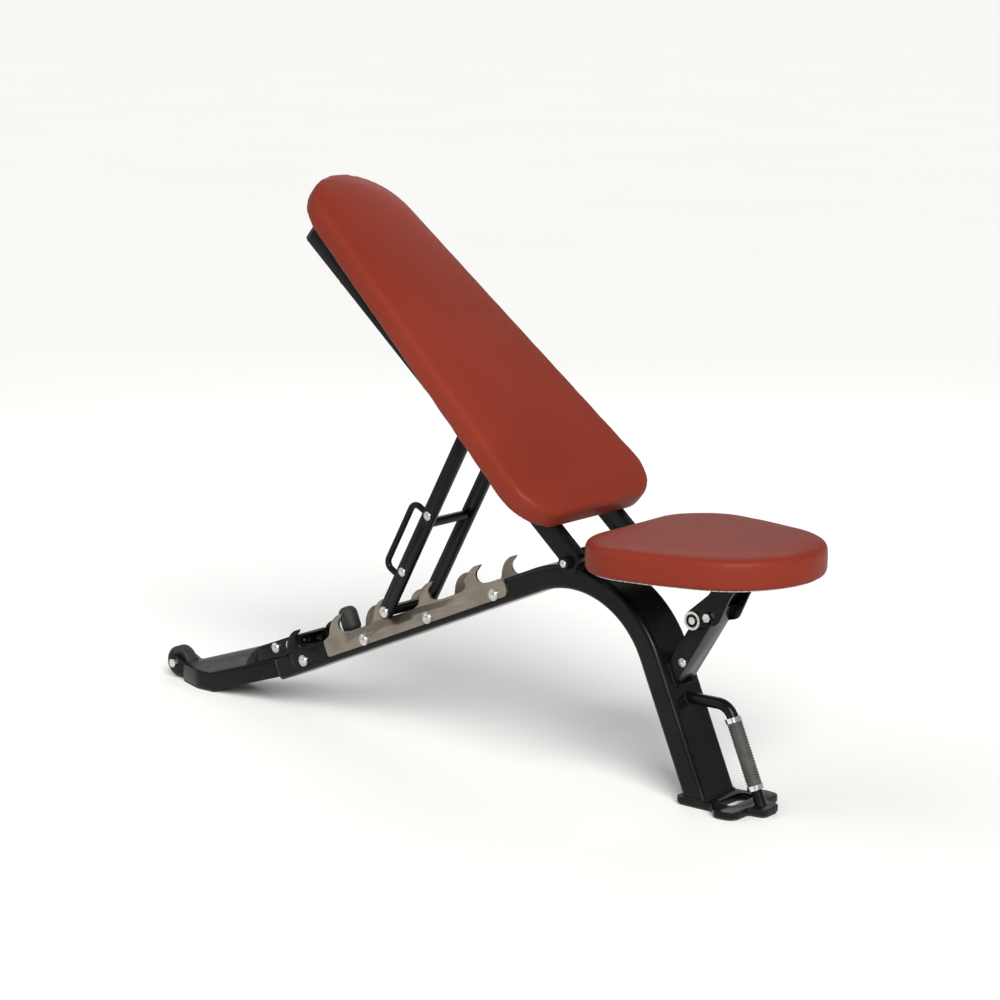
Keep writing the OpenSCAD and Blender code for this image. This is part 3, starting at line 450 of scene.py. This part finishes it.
class Recipe(Tree):
    """A Geometry Nodes tree with named inputs, grown on a small guide mesh."""

    def __init__(self, name, **sizes):
        self.group = bpy.data.node_groups.new(name, "GeometryNodeTree")
        sockets = self.group.interface
        sockets.new_socket("Geometry", in_out="INPUT", socket_type="NodeSocketGeometry")
        sockets.new_socket("Geometry", in_out="OUTPUT", socket_type="NodeSocketGeometry")
        sockets.new_socket("Finish", in_out="INPUT", socket_type="NodeSocketMaterial")
        for key, value in sizes.items():
            kind = "NodeSocketInt" if isinstance(value, int) else "NodeSocketFloat"
            sockets.new_socket(key, in_out="INPUT", socket_type=kind).default_value = value
        super().__init__(self.group)
        self.entry = self.nodes.new("NodeGroupInput")
        self.exit = self.nodes.new("NodeGroupOutput")

    def given(self, name="Geometry"):
        """One of the tree's named inputs."""
        return Wire(self, self.entry.outputs[name])

    def moved(self, geometry, place=(0, 0, 0), scale=(1, 1, 1)):
        inputs = {"Geometry": geometry, "Translation": place, "Scale": scale}
        return self.add("GeometryNodeTransform", {}, inputs)

    def vector(self, x, y, z):
        return self.add("ShaderNodeCombineXYZ", {}, [x, y, z])

    def facing(self, name, axis="Z"):
        """The turn that brings an axis to the direction kept on each point."""
        way = self.add("GeometryNodeInputNamedAttribute", {"data_type": "FLOAT_VECTOR"}, [name])
        return self.add("FunctionNodeAlignRotationToVector", {"axis": axis}, {"Vector": way})

    def joined(self, *parts):
        join = self.nodes.new("GeometryNodeJoinGeometry")
        for part in parts:
            self.links.new(part.socket, join.inputs[0])
        return Wire(self, join.outputs[0])

    def circle(self, steps, radius):
        inputs = {"Resolution": steps, "Radius": radius}
        return self.add("GeometryNodeCurvePrimitiveCircle", {}, inputs)

    def swept(self, line, section, **more):
        inputs = {"Curve": line, "Profile Curve": section, **more}
        return self.add("GeometryNodeCurveToMesh", {}, inputs)

    def copies(self, points, shape, **more):
        inputs = {"Points": points, "Instance": shape, **more}
        return self.add("GeometryNodeInstanceOnPoints", {}, inputs)

    def close(self, geometry):
        """Ends the tree: copies made real, in the finish that is given."""
        solid = self.add("GeometryNodeRealizeInstances", {}, [geometry])
        inputs = {"Geometry": solid, "Material": self.given("Finish")}
        self.feed(self.exit.inputs[0], self.add("GeometryNodeSetMaterial", {}, inputs))

    def grow(self, name, guide, slot, **sizes):
        """A plain mesh: this tree on a guide mesh, with these sizes."""
        made = add_object(name + "_guide", guide)
        modifier = made.modifiers.new("grow", "NODES")
        modifier.node_group = self.group
        given = {**sizes, "Finish": FINISHES[slot]}
        for row in self.group.interface.items_tree:
            if row.in_out == "INPUT" and row.name in given:
                modifier[row.identifier] = given[row.name]
        mesh = evaluated_mesh(made, name)
        smooth(mesh, GROWN_ANGLE)
        return mesh


def guide_points(points, ways):
    """Points with the direction that each one faces."""
    mesh = bpy.data.meshes.new("points")
    mesh.from_pydata([tuple(p) for p in points], [], [])
    kept = mesh.attributes.new("way", "FLOAT_VECTOR", "POINT")
    kept.data.foreach_set("vector", [value for way in ways for value in way])
    return mesh


def guide_lines(paths):
    """Polylines, each (points, closed)."""
    verts, edges = [], []
    for points, closed in paths:
        first, count = len(verts), len(points)
        verts += [tuple(p) for p in points]
        edges += [(first + i, first + i + 1) for i in range(count - 1)]
        if closed:
            edges.append((first + count - 1, first))
    mesh = bpy.data.meshes.new("lines")
    mesh.from_pydata(verts, edges, [])
    return mesh


def domed_bolts():
    """A shallow domed head on a bevelled washer, on every point."""
    tree = Recipe("domed_bolts", Head=0.009, Washer=0.0018, Dome=0.0048)
    head, washer, dome = tree.given("Head"), tree.given("Washer"), tree.given("Dome")
    ball = tree.add("GeometryNodeMeshUVSphere", {}, {"Segments": 32, "Rings": 16, "Radius": 1.0})
    parts = [tree.moved(ball, tree.vector(0.0, 0.0, washer), tree.vector(head, head, dome))]
    disc = {"Vertices": 32, "Side Segments": 1, "Fill Segments": 1, "Radius": 1.0, "Depth": 1.0}
    # The washer and its lip: width as a share of the head, height as a share of the washer
    for width, height in ((1.16, 1.0), (1.08, 1.3)):
        flat = tree.add("GeometryNodeMeshCylinder", {}, disc)
        wide = head * width
        size = tree.vector(wide, wide, washer * height)
        parts.append(tree.moved(flat, tree.vector(0.0, 0.0, washer * (height / 2)), size))
    tree.close(tree.copies(tree.given(), tree.joined(*parts), Rotation=tree.facing("way")))
    return tree


def weld_beads():
    """Overlapping flattened drops along every line, as a hand weld leaves."""
    tree = Recipe("weld_beads", Bead=0.0026, Pitch=0.0026)
    bead, pitch = tree.given("Bead"), tree.given("Pitch")
    line = tree.add("GeometryNodeMeshToCurve", {}, [tree.given()])
    inputs = {"Curve": line, "Length": pitch}
    points = tree.add("GeometryNodeResampleCurve", {"mode": "LENGTH"}, inputs)
    drop = tree.add("GeometryNodeMeshUVSphere", {}, {"Segments": 8, "Rings": 6, "Radius": bead})
    spread = {2: 0.82, 3: 1.12, "Seed": 7}
    uneven = tree.add("FunctionNodeRandomValue", {"data_type": "FLOAT"}, spread, output=1)
    tree.close(tree.copies(points, drop, Scale=tree.vector(uneven, uneven, uneven)))
    return tree


def ring_row():
    """A round core along a line, with rounded rings round it at an even spacing."""
    tree = Recipe("ring_row", Core=0.0115, Ring=0.0122, Thick=0.0016, Count=20)
    line = tree.add("GeometryNodeMeshToCurve", {}, [tree.given()])
    core = tree.swept(line, tree.circle(48, tree.given("Core")), **{"Fill Caps": True})
    inputs = {"Curve": line, "Count": tree.given("Count")}
    points = tree.add("GeometryNodeCurveToPoints", {"mode": "COUNT"}, inputs)
    turn = Wire(tree, points.socket.node.outputs["Rotation"])
    ring = tree.swept(tree.circle(48, tree.given("Ring")), tree.circle(8, tree.given("Thick")))
    tree.close(tree.joined(core, tree.copies(points, ring, Rotation=turn)))
    return tree


def block_row(name, axis, long, wide, high):
    """Small blocks on every point, each with one axis along the direction kept on it."""
    tree = Recipe(name, Long=long, Wide=wide, High=high)
    size = tree.vector(tree.given("Long"), tree.given("Wide"), tree.given("High"))
    block = tree.add("GeometryNodeMeshCube", {}, {"Size": size})
    tree.close(tree.copies(tree.given(), block, Rotation=tree.facing("way", axis)))
    return tree


def islands(name):
    """Lowest and highest corner of every loose part of a CAD node."""
    shape = bmesh.new()
    shape.from_mesh(nodes[name].data)
    bmesh.ops.remove_doubles(shape, verts=shape.verts, dist=MERGE)
    seen, boxes = set(), []
    for start in shape.verts:
        if start in seen:
            continue
        stack, part = [start], []
        seen.add(start)
        while stack:
            vertex = stack.pop()
            part.append(vertex.co)
            for edge in vertex.link_edges:
                other = edge.other_vert(vertex)
                if other not in seen:
                    seen.add(other)
                    stack.append(other)
        low = Vector([min(p[i] for p in part) for i in range(3)])
        high = Vector([max(p[i] for p in part) for i in range(3)])
        boxes.append((low, high))
    shape.free()
    return boxes


def eased(name, width):
    """A copy of a CAD node whose sharp edges are rounded over, which stands for the node."""
    shape = bmesh.new()
    shape.from_mesh(nodes[name].data)
    bmesh.ops.remove_doubles(shape, verts=shape.verts, dist=MERGE)
    flat = math.radians(FLAT_ANGLE)
    bmesh.ops.dissolve_limit(shape, angle_limit=flat, verts=shape.verts, edges=shape.edges)
    mesh = bpy.data.meshes.new(name + "_eased")
    shape.to_mesh(mesh)
    shape.free()
    work = add_object(name + "_work", mesh)
    bevel = work.modifiers.new("bevel", "BEVEL")
    bevel.width = width
    bevel.segments = 2
    bevel.limit_method = "ANGLE"
    bevel.angle_limit = math.radians(CORNER_ANGLE)
    mesh = evaluated_mesh(work, name + "_eased")
    smooth(mesh, EASED_ANGLE)
    return piece(name + "_eased", mesh, body_of[name], slot_of[name], [name])


# ---------------------------------------------------------------------------------------------
# Pads
# ---------------------------------------------------------------------------------------------

# Radii of a pad's upper and lower edges, and how far its middle stands above its rim
PAD_EDGE = 0.0095
PAD_HEM = 0.006
PAD_CROWN = 0.006
# Points round a pad's outline, and directions tried to find it
PAD_RING = 220
OUTLINE_STEPS = 1440
# Voxel of the remesh, rounds of evening out, and the most that the pressure may move a point
VOXEL = 0.0055
SETTLE_ROUNDS = 30
PUFF_LIMIT = 0.0035
LAST_STEP = 20
# How much smaller than its solid a pad starts, and how far its underside is let into the board
PAD_SHRINK = 0.001
BOARD_INSET = 0.020
BOARD_RECESS = 0.0012
NEAR_BOARD = 0.0015
# The pad's flat underside and its crown, as shares of the way in from the rim to its long axis
UNDER_SHARES = (0.97, 0.5, 0.25)
CROWN_SHARES = (0.28, 0.42, 0.58, 0.76, 0.97)
# How far the rounding of the upper edge turns in, in degrees
EDGE_SWEEP = 78
# Pressure inside the pad, and the cloth's stiffness to stretching and to bending
PRESSURE = 4
STRETCH = 12
BENDING = 1.5


def hull_outline(circles, inset, count):
    """Points, evenly spaced, on the outline of a band stretched round circles (x, y, radius)."""
    path = []
    for k in range(OUTLINE_STEPS):
        turn = 2 * math.pi * k / OUTLINE_STEPS
        way = Vector((math.cos(turn), math.sin(turn)))
        x, y, r = max(circles, key=lambda c: c[0] * way.x + c[1] * way.y + c[2])
        path.append(Vector((x, y)) + way * (r - inset))
    path.append(path[0])
    lengths = [0.0]
    for a, b in zip(path, path[1:]):
        lengths.append(lengths[-1] + (b - a).length)
    points, k = [], 0
    for i in range(count):
        goal = lengths[-1] * i / count
        while lengths[k + 1] < goal:
            k += 1
        share = (goal - lengths[k]) / max(lengths[k + 1] - lengths[k], 1e-9)
        points.append(path[k].lerp(path[k + 1], share))
    return points


def arc(centre, radius, start, end, steps):
    """Points (inset, height) round a centre, from one angle in degrees to another."""
    angles = [math.radians(start + (end - start) * i / steps) for i in range(steps + 1)]
    return [(centre[0] - radius * math.cos(a), centre[1] + radius * math.sin(a)) for a in angles]


def narrowed(circles, share):
    """The circles drawn in towards the pad's long axis by a share of their size."""
    return [(x, y * (1 - share), r * (1 - share)) for x, y, r in circles]


def pad_mesh(circles, thick, place, name):
    """A crowned pad on its flat underside; place turns (x, y, height) into the bench's frame."""
    rings = []

    def ring(shapes, inset, height):
        outline = hull_outline(shapes, inset, PAD_RING)
        rings.append([place(p.x, p.y, height) for p in outline])

    for share in UNDER_SHARES:
        ring(narrowed(circles, share), 0, 0)
    for inset, height in arc((PAD_HEM, PAD_HEM), PAD_HEM, -90, 0, 4):
        ring(circles, inset, height)
    for inset, height in arc((PAD_EDGE, thick - PAD_EDGE), PAD_EDGE, 0, EDGE_SWEEP, 8):
        ring(circles, inset, height)
    for share in CROWN_SHARES:
        ring(narrowed(circles, share), 0, thick + PAD_CROWN * math.sin(share * math.pi / 2))
    return loft(rings, name)


def settled(mesh, rest, ways, swell):
    """Spreads the swelling evenly over its neighbourhood, so that taut vinyl has no puckers."""
    near = [[] for _ in rest]
    for edge in mesh.edges:
        a, b = edge.vertices
        near[a].append(b)
        near[b].append(a)
    for _ in range(SETTLE_ROUNDS):
        swell = [
            0.5 * own + 0.5 * sum(swell[j] for j in row) / len(row)
            for own, row in zip(swell, near)
        ]
    for vertex, home, way, out in zip(mesh.vertices, rest, ways, swell):
        vertex.co = home + way * out
    return mesh


def stuffed(mesh, place_back, name):
    """The pad after cloth pressure has rounded it, with its underside held by the board."""
    made = add_object(name + "_work", mesh)
    remesh = made.modifiers.new("remesh", "REMESH")
    remesh.mode = "VOXEL"
    remesh.voxel_size = VOXEL
    start = evaluated_mesh(made, name + "_start")
    made = add_object(name + "_sim", start)
    held = made.vertex_groups.new(name="held")
    rest = [v.co.copy() for v in start.vertices]
    ways = [v.normal.copy() for v in start.vertices]
    local = [place_back(p) for p in rest]
    held.add([i for i, p in enumerate(local) if p.z < PAD_HEM], 1.0, "REPLACE")
    cloth = made.modifiers.new("cloth", "CLOTH")
    cloth.settings.quality = 5
    cloth.settings.use_pressure = True
    cloth.settings.uniform_pressure_force = PRESSURE
    cloth.settings.effector_weights.gravity = 0
    cloth.settings.vertex_group_mass = "held"
    cloth.settings.tension_stiffness = STRETCH
    cloth.settings.compression_stiffness = STRETCH
    cloth.settings.bending_stiffness = BENDING
    cloth.point_cache.frame_start, cloth.point_cache.frame_end = 1, LAST_STEP
    scene = bpy.context.scene
    for step in range(1, LAST_STEP + 1):
        scene.frame_set(step)
    puffed = evaluated_mesh(made, name)
    swell = [
        min(max((v.co - home).dot(way), 0), PUFF_LIMIT)
        for v, home, way in zip(puffed.vertices, rest, ways)
    ]
    scene.frame_set(1)
    return settled(puffed, rest, ways, swell)


# The back pad's own frame runs up the rails from the hinge, and out of the pad's face
HINGE = Vector(joints["back_recline"]["pos_m"])
BACK_ANGLE = math.radians(BACK_SLOPE)
UP_BACK = Vector((-math.cos(BACK_ANGLE), 0, math.sin(BACK_ANGLE)))
OUT_BACK = Vector((math.sin(BACK_ANGLE), 0, math.cos(BACK_ANGLE)))
ACROSS = Vector((0, 1, 0))
BACK_START = 0.051
BACK_UNDER = 0.025
BACK_LEN = 0.772
BACK_WIDE = 0.340
BACK_THICK = 0.042
BACK_CORNER = 0.074
BACK_TOP = 0.1055
BACK_TOP_SPREAD = 0.006
# Each outline is a band round circles (distance along the pad, distance across, radius)
BACK_CIRCLES = [
    (BACK_CORNER, side * (BACK_WIDE / 2 - BACK_CORNER), BACK_CORNER) for side in (-1, 1)
] + [(BACK_LEN - BACK_TOP, side * BACK_TOP_SPREAD, BACK_TOP) for side in (-1, 1)]

SEAT_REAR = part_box("seat_pad")[0].x
SEAT_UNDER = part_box("seat_pad")[0].z
SEAT_LEN = 0.352
SEAT_WIDE = 0.356
SEAT_THICK = 0.050
SEAT_CORNER = 0.096
SEAT_TAPER = 0.020
# The circles that carry the seat's sides forward: how far behind the nose's, in from the back
# corners', and smaller than them
SHOULDER_BACK = 0.049
SHOULDER_IN = 0.002
SHOULDER_LESS = 0.004
SEAT_FRONT = SEAT_WIDE / 2 - SEAT_TAPER
SEAT_NOSE = SEAT_LEN - SEAT_FRONT
SEAT_SIDE = SEAT_WIDE / 2 - SEAT_CORNER
SEAT_CIRCLES = [(SEAT_CORNER, side * SEAT_SIDE, SEAT_CORNER) for side in (-1, 1)]
SEAT_CIRCLES += [
    (SEAT_NOSE - SHOULDER_BACK, side * (SEAT_SIDE - SHOULDER_IN), SEAT_CORNER - SHOULDER_LESS)
    for side in (-1, 1)
]
SEAT_CIRCLES += [(SEAT_NOSE, 0, SEAT_FRONT)]


def on_back(x, y, height):
    """A point of the back pad's own frame, in the bench's frame."""
    return HINGE + UP_BACK * (BACK_START + x) + ACROSS * y + OUT_BACK * (BACK_UNDER + height)


def off_back(point):
    away = point - HINGE
    return Vector((away.dot(UP_BACK) - BACK_START, away.y, away.dot(OUT_BACK) - BACK_UNDER))


def on_seat(x, y, height):
    """A point of the seat pad's own frame, in the bench's frame."""
    return Vector((SEAT_REAR + x, y, SEAT_UNDER + height))


def off_seat(point):
    return point - Vector((SEAT_REAR, 0, SEAT_UNDER))


def inside_outline(circles, p, inset):
    """True if p lies more than inset inside the band stretched round the circles."""
    for k in range(72):
        way = Vector((math.cos(math.pi * k / 36), math.sin(math.pi * k / 36)))
        reach = max(c[0] * way.x + c[1] * way.y + c[2] for c in circles) - inset
        if p.x * way.x + p.y * way.y > reach:
            return False
    return True


def make_pad(name, circles, thick, place, place_back, body, node):
    """A foam pad under vinyl, swollen by cloth pressure, that stands for a CAD pad."""
    small = [(x, y, r - PAD_SHRINK) for x, y, r in circles]
    mesh = pad_mesh(small, thick - PAD_SHRINK, place, name + "_base")
    mesh = stuffed(mesh, place_back, name)
    work = add_object(name + "_finish", mesh)
    evener = work.modifiers.new("even", "SMOOTH")
    evener.factor, evener.iterations = 0.5, 6
    finer = work.modifiers.new("finer", "SUBSURF")
    finer.levels = finer.render_levels = 1
    mesh = evaluated_mesh(work, name)
    mesh.name = name
    for vertex in mesh.vertices:
        p = place_back(vertex.co)
        if p.z < NEAR_BOARD and inside_outline(circles, p, BOARD_INSET):
            vertex.co = place(p.x, p.y, BOARD_RECESS)
    smooth(mesh, PAD_ANGLE)
    made = piece(name, mesh, body, "vinyl", [node])


make_pad("back_cushion", BACK_CIRCLES, BACK_THICK, on_back, off_back, "backrest", "back_pad")
make_pad("seat_cushion", SEAT_CIRCLES, SEAT_THICK, on_seat, off_seat, "seat", "seat_pad")

# ---------------------------------------------------------------------------------------------
# Bolts, welds, grip and wheel
# ---------------------------------------------------------------------------------------------

BOLTS = domed_bolts()
WELDS = weld_beads()
RINGS = ring_row()
STAPLES = block_row("staples", "X", 0.010, 0.0011, 0.0011)
TREADS = block_row("treads", "Z", 0.0026, 0.0090, 0.0022)

# node: (body, radius of the head, height of the CAD head, height of the dome)
BOLT_ROWS = {
    "ladder_bolts": ("frame", 0.0088, 0.006, 0.0046),
    "tail_bracket_bolts": ("frame", 0.0080, 0.006, 0.0042),
    "prop_rod_bolts": ("prop", 0.0085, 0.005, 0.0042),
    "prop_handle_bolts": ("prop", 0.0066, 0.004, 0.0030),
    "seat_post_bolts": ("frame", 0.0062, 0.003, 0.0026),
}
# Slope of the leg, half its depth measured level, half its width, and the corner radius of its tube
LEG_ANGLE = math.radians(67)
UP_LEG = Vector((-math.cos(LEG_ANGLE), 0, math.sin(LEG_ANGLE)))
LEG_HALF = 0.020 / math.sin(LEG_ANGLE)
TUBE_HALF = 0.045
TUBE_CORNER = 0.009
# Height and radius of the handle's stub on the leg
STUB_Z = 0.165
STUB_R = 0.0100
# The seat post's foot on the leg: lowest and highest point, half its width, corner radius
POST_FOOT = (0.185, 0.221)
POST_HALF = 0.025
POST_CORNER = 0.003
# Distance from the middle to the inner face of a rail, and half of a cross member's section
RAIL_IN = 0.072
CROSS_HALF = (0.015, 0.011)
# Outer radius of the frame's bend, and the hinge's place on it: forward of the top, and above
BEND_OUT = 0.195
HINGE_PAST_TOP = 0.035
HINGE_ABOVE = 0.022
# Inner and outer faces of the saddle's plates, and where along them the welds stop
SADDLE_FACES = ((-0.034, -1), (-0.026, 1), (0.026, -1), (0.034, 1))
SADDLE_END = 0.002
WELD_OUT = 0.0006
# Length of the grip, and how far short of its ends the rings stop
GRIP_LEN = 0.104
GRIP_END = 0.0005
# Tread blocks in each of two rows, half the space between the rows, and how deep they are set in
TREAD_COUNT = 40
TREAD_SIDE = 0.0042
TREAD_SUNK = 0.0009
# Staples round each board, how far in from the vinyl's outline, and how far under it
STAPLE_COUNT = 96
STAPLE_INSET = 0.0115
STAPLE_UNDER = 0.0003
# How deep the bright centres are set in the heads of the backrest's pivot pin
PIN_CENTRE_SUNK = 0.0012


def domed_heads(node, body, head, deep, dome):
    """Domed heads in place of a node's bolts, which all lie across the bench."""
    points, ways = [], []
    for low, high in islands(node):
        side = 1 if low.y + high.y > 0 else -1
        face = (high.y if side > 0 else low.y) - side * deep
        points.append(((low.x + high.x) / 2, face, (low.z + high.z) / 2))
        ways.append((0, side, 0))
    name = node + "_domed"
    mesh = BOLTS.grow(name, guide_points(points, ways), "bright_steel", Head=head, Dome=dome)
    piece(name, mesh, body, "bright_steel", [node])


def weld(name, body, paths, bead):
    """Weld beads along lines, each (points, closed)."""
    mesh = WELDS.grow(name, guide_lines(paths), "black_paint", Bead=bead, Pitch=bead)
    piece(name, mesh, body, "black_paint")


def circle_points(centre, first, second, radius, count=40):
    turns = [2 * math.pi * i / count for i in range(count)]
    return [
        Vector(centre) + (Vector(first) * math.cos(t) + Vector(second) * math.sin(t)) * radius
        for t in turns
    ]


def rounded_rectangle(corners, radius, steps=5):
    """A rectangle of four 3D corners, with its corners rounded."""
    out = []
    for i in range(4):
        before, at, after = corners[i - 1], corners[i], corners[(i + 1) % 4]
        a = (before - at).normalized() * radius
        b = (after - at).normalized() * radius
        for k in range(steps + 1):
            t = k / steps
            out.append(at + a * (1 - t) ** 2 + b * t ** 2)
    return out


def on_leg(side, y, z):
    """A point on the leg's front (side 1) or rear (side -1) face, at a height."""
    return Vector((side * LEG_HALF - z / math.tan(LEG_ANGLE), y, z))


def frame_welds():
    """Welds round the leg on its foot plate, and round the post and the handle on the leg."""
    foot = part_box("front_foot")[1].z
    leg_ring = [on_leg(-1, -TUBE_HALF, foot), on_leg(1, -TUBE_HALF, foot)]
    leg_ring += [on_leg(1, TUBE_HALF, foot), on_leg(-1, TUBE_HALF, foot)]
    low, high = POST_FOOT
    post_ring = [on_leg(1, -POST_HALF, low), on_leg(1, -POST_HALF, high)]
    post_ring += [on_leg(1, POST_HALF, high), on_leg(1, POST_HALF, low)]
    weld("frame_welds", "frame", [
        (rounded_rectangle(leg_ring, TUBE_CORNER), True),
        (rounded_rectangle(post_ring, POST_CORNER), True),
        (circle_points(on_leg(1, 0, STUB_Z), UP_LEG, (0, 1, 0), STUB_R), True),
    ], 0.0026)


def cross_welds():
    """Welds where the cross members meet the rails."""
    paths = []
    up, out = UP_BACK * CROSS_HALF[0], OUT_BACK * CROSS_HALF[1]
    for node in ("back_cross_low", "back_cross_high"):
        low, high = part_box(node)
        middle = (low + high) / 2
        for side in (-1, 1):
            end = middle + ACROSS * (side * RAIL_IN - middle.y)
            paths.append(([end + out - up, end - out - up, end - out + up, end + out + up], False))
    weld("cross_welds", "backrest", paths, 0.0022)


def saddle_welds():
    """Welds along both faces of the saddle plates, on the frame's bend."""
    low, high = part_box("pivot_saddle")
    drop = HINGE_ABOVE + math.sqrt(BEND_OUT ** 2 - HINGE_PAST_TOP ** 2)
    centre = HINGE - Vector((HINGE_PAST_TOP, 0, drop))
    length = high.x - low.x - 2 * SADDLE_END
    paths = []
    for y, side in SADDLE_FACES:
        points = []
        for i in range(13):
            x = low.x + SADDLE_END + length * i / 12
            z = centre.z + math.sqrt(BEND_OUT ** 2 - (x - centre.x) ** 2)
            points.append(Vector((x, y + side * WELD_OUT, z)))
        paths.append((points, False))
    weld("saddle_welds", "frame", paths, 0.0024)


def ribbed_grip():
    """The ribbed sleeve of the lifting handle, along the leg."""
    low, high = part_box("handle_grip")
    reach = UP_LEG * (GRIP_LEN / 2 - GRIP_END)
    line = guide_lines([([(low + high) / 2 + reach, (low + high) / 2 - reach], False)])
    sizes = {"Core": 0.0112, "Ring": 0.0112, "Thick": 0.0015, "Count": 24}
    mesh = RINGS.grow("ribbed_grip", line, "grip", **sizes)
    piece("ribbed_grip", mesh, "frame", "grip", ["handle_grip"])


def tyre_treads():
    """Two staggered rows of blocks round the wheel."""
    low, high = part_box("wheel_tyre")
    radius = (high.z - low.z) / 2 - TREAD_SUNK
    points, ways = [], []
    for i in range(2 * TREAD_COUNT):
        turn, side = math.pi * i / TREAD_COUNT, 1 if i % 2 else -1
        way = Vector((math.cos(turn), 0, math.sin(turn)))
        points.append((low + high) / 2 + way * radius + Vector((0, side * TREAD_SIDE, 0)))
        ways.append(way)
    mesh = TREADS.grow("tyre_treads", guide_points(points, ways), "rubber")
    piece("tyre_treads", mesh, "wheel", "rubber")


def staples(name, circles, place, body):
    """The staples that hold the vinyl to a pad's board."""
    around = hull_outline(circles, STAPLE_INSET, STAPLE_COUNT)
    points, ways = [], []
    for p, after in zip(around, around[1:] + around[:1]):
        points.append(place(p.x, p.y, -STAPLE_UNDER))
        ways.append((place(after.x, after.y, 0) - place(p.x, p.y, 0)).normalized())
    mesh = STAPLES.grow(name, guide_points(points, ways), "bright_steel")
    piece(name, mesh, body, "bright_steel")


def pivot_centres():
    """Small bright centres on the painted heads of the backrest's pivot."""
    low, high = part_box("back_pivot_pin")
    points = [
        (HINGE.x, low.y + PIN_CENTRE_SUNK, HINGE.z), (HINGE.x, high.y - PIN_CENTRE_SUNK, HINGE.z)
    ]
    guide = guide_points(points, [(0, -1, 0), (0, 1, 0)])
    mesh = BOLTS.grow("pivot_centres", guide, "bright_steel", Head=0.0052, Dome=0.0022)
    piece("pivot_centres", mesh, "backrest", "bright_steel")


for node_name, row in BOLT_ROWS.items():
    domed_heads(node_name, *row)
frame_welds()
cross_welds()
saddle_welds()
ribbed_grip()
tyre_treads()
staples("back_staples", BACK_CIRCLES, on_back, "backrest")
staples("seat_staples", SEAT_CIRCLES, on_seat, "seat")
pivot_centres()

# Plates and bars, with the radius that their edges are rounded to
EASED = {
    "ladder_plate_near": 0.0007, "ladder_plate_far": 0.0007,
    "rear_catch_near": 0.0007, "rear_catch_far": 0.0007,
    "back_rail_near": 0.0022, "back_rail_far": 0.0022,
    "back_cross_low": 0.0012, "back_cross_high": 0.0012,
    "prop_bar_near": 0.0012, "prop_bar_far": 0.0012,
    "front_foot": 0.0014, "front_sole": 0.0008, "seat_post": 0.0022, "seat_carrier": 0.0009,
    "pivot_saddle": 0.0009, "tail_bracket": 0.0014, "tail_tube": 0.0016, "wheel_cheeks": 0.0012,
}
for node_name, width in EASED.items():
    eased(node_name, width)

# ---------------------------------------------------------------------------------------------
# The CAD's own parts
# ---------------------------------------------------------------------------------------------

for node_name, node_object in nodes.items():
    for place in node_object.material_slots:
        place.material = FINISHES[slot_of[node_name]]
for place in nodes["back_pivot_pin"].material_slots:
    place.material = FINISHES["black_paint"]

# ---------------------------------------------------------------------------------------------
# Set
# ---------------------------------------------------------------------------------------------

half = FLOOR_SIZE / 2
floor_corners = [(-half, -half, 0), (half, -half, 0), (half, half, 0), (-half, half, 0)]
floor_mesh = bpy.data.meshes.new("floor")
floor_mesh.from_pydata(floor_corners, [], [(0, 1, 2, 3)])
floor_mesh.materials.append(pale_floor())
add_object("floor", floor_mesh)
set_camera()
set_studio()
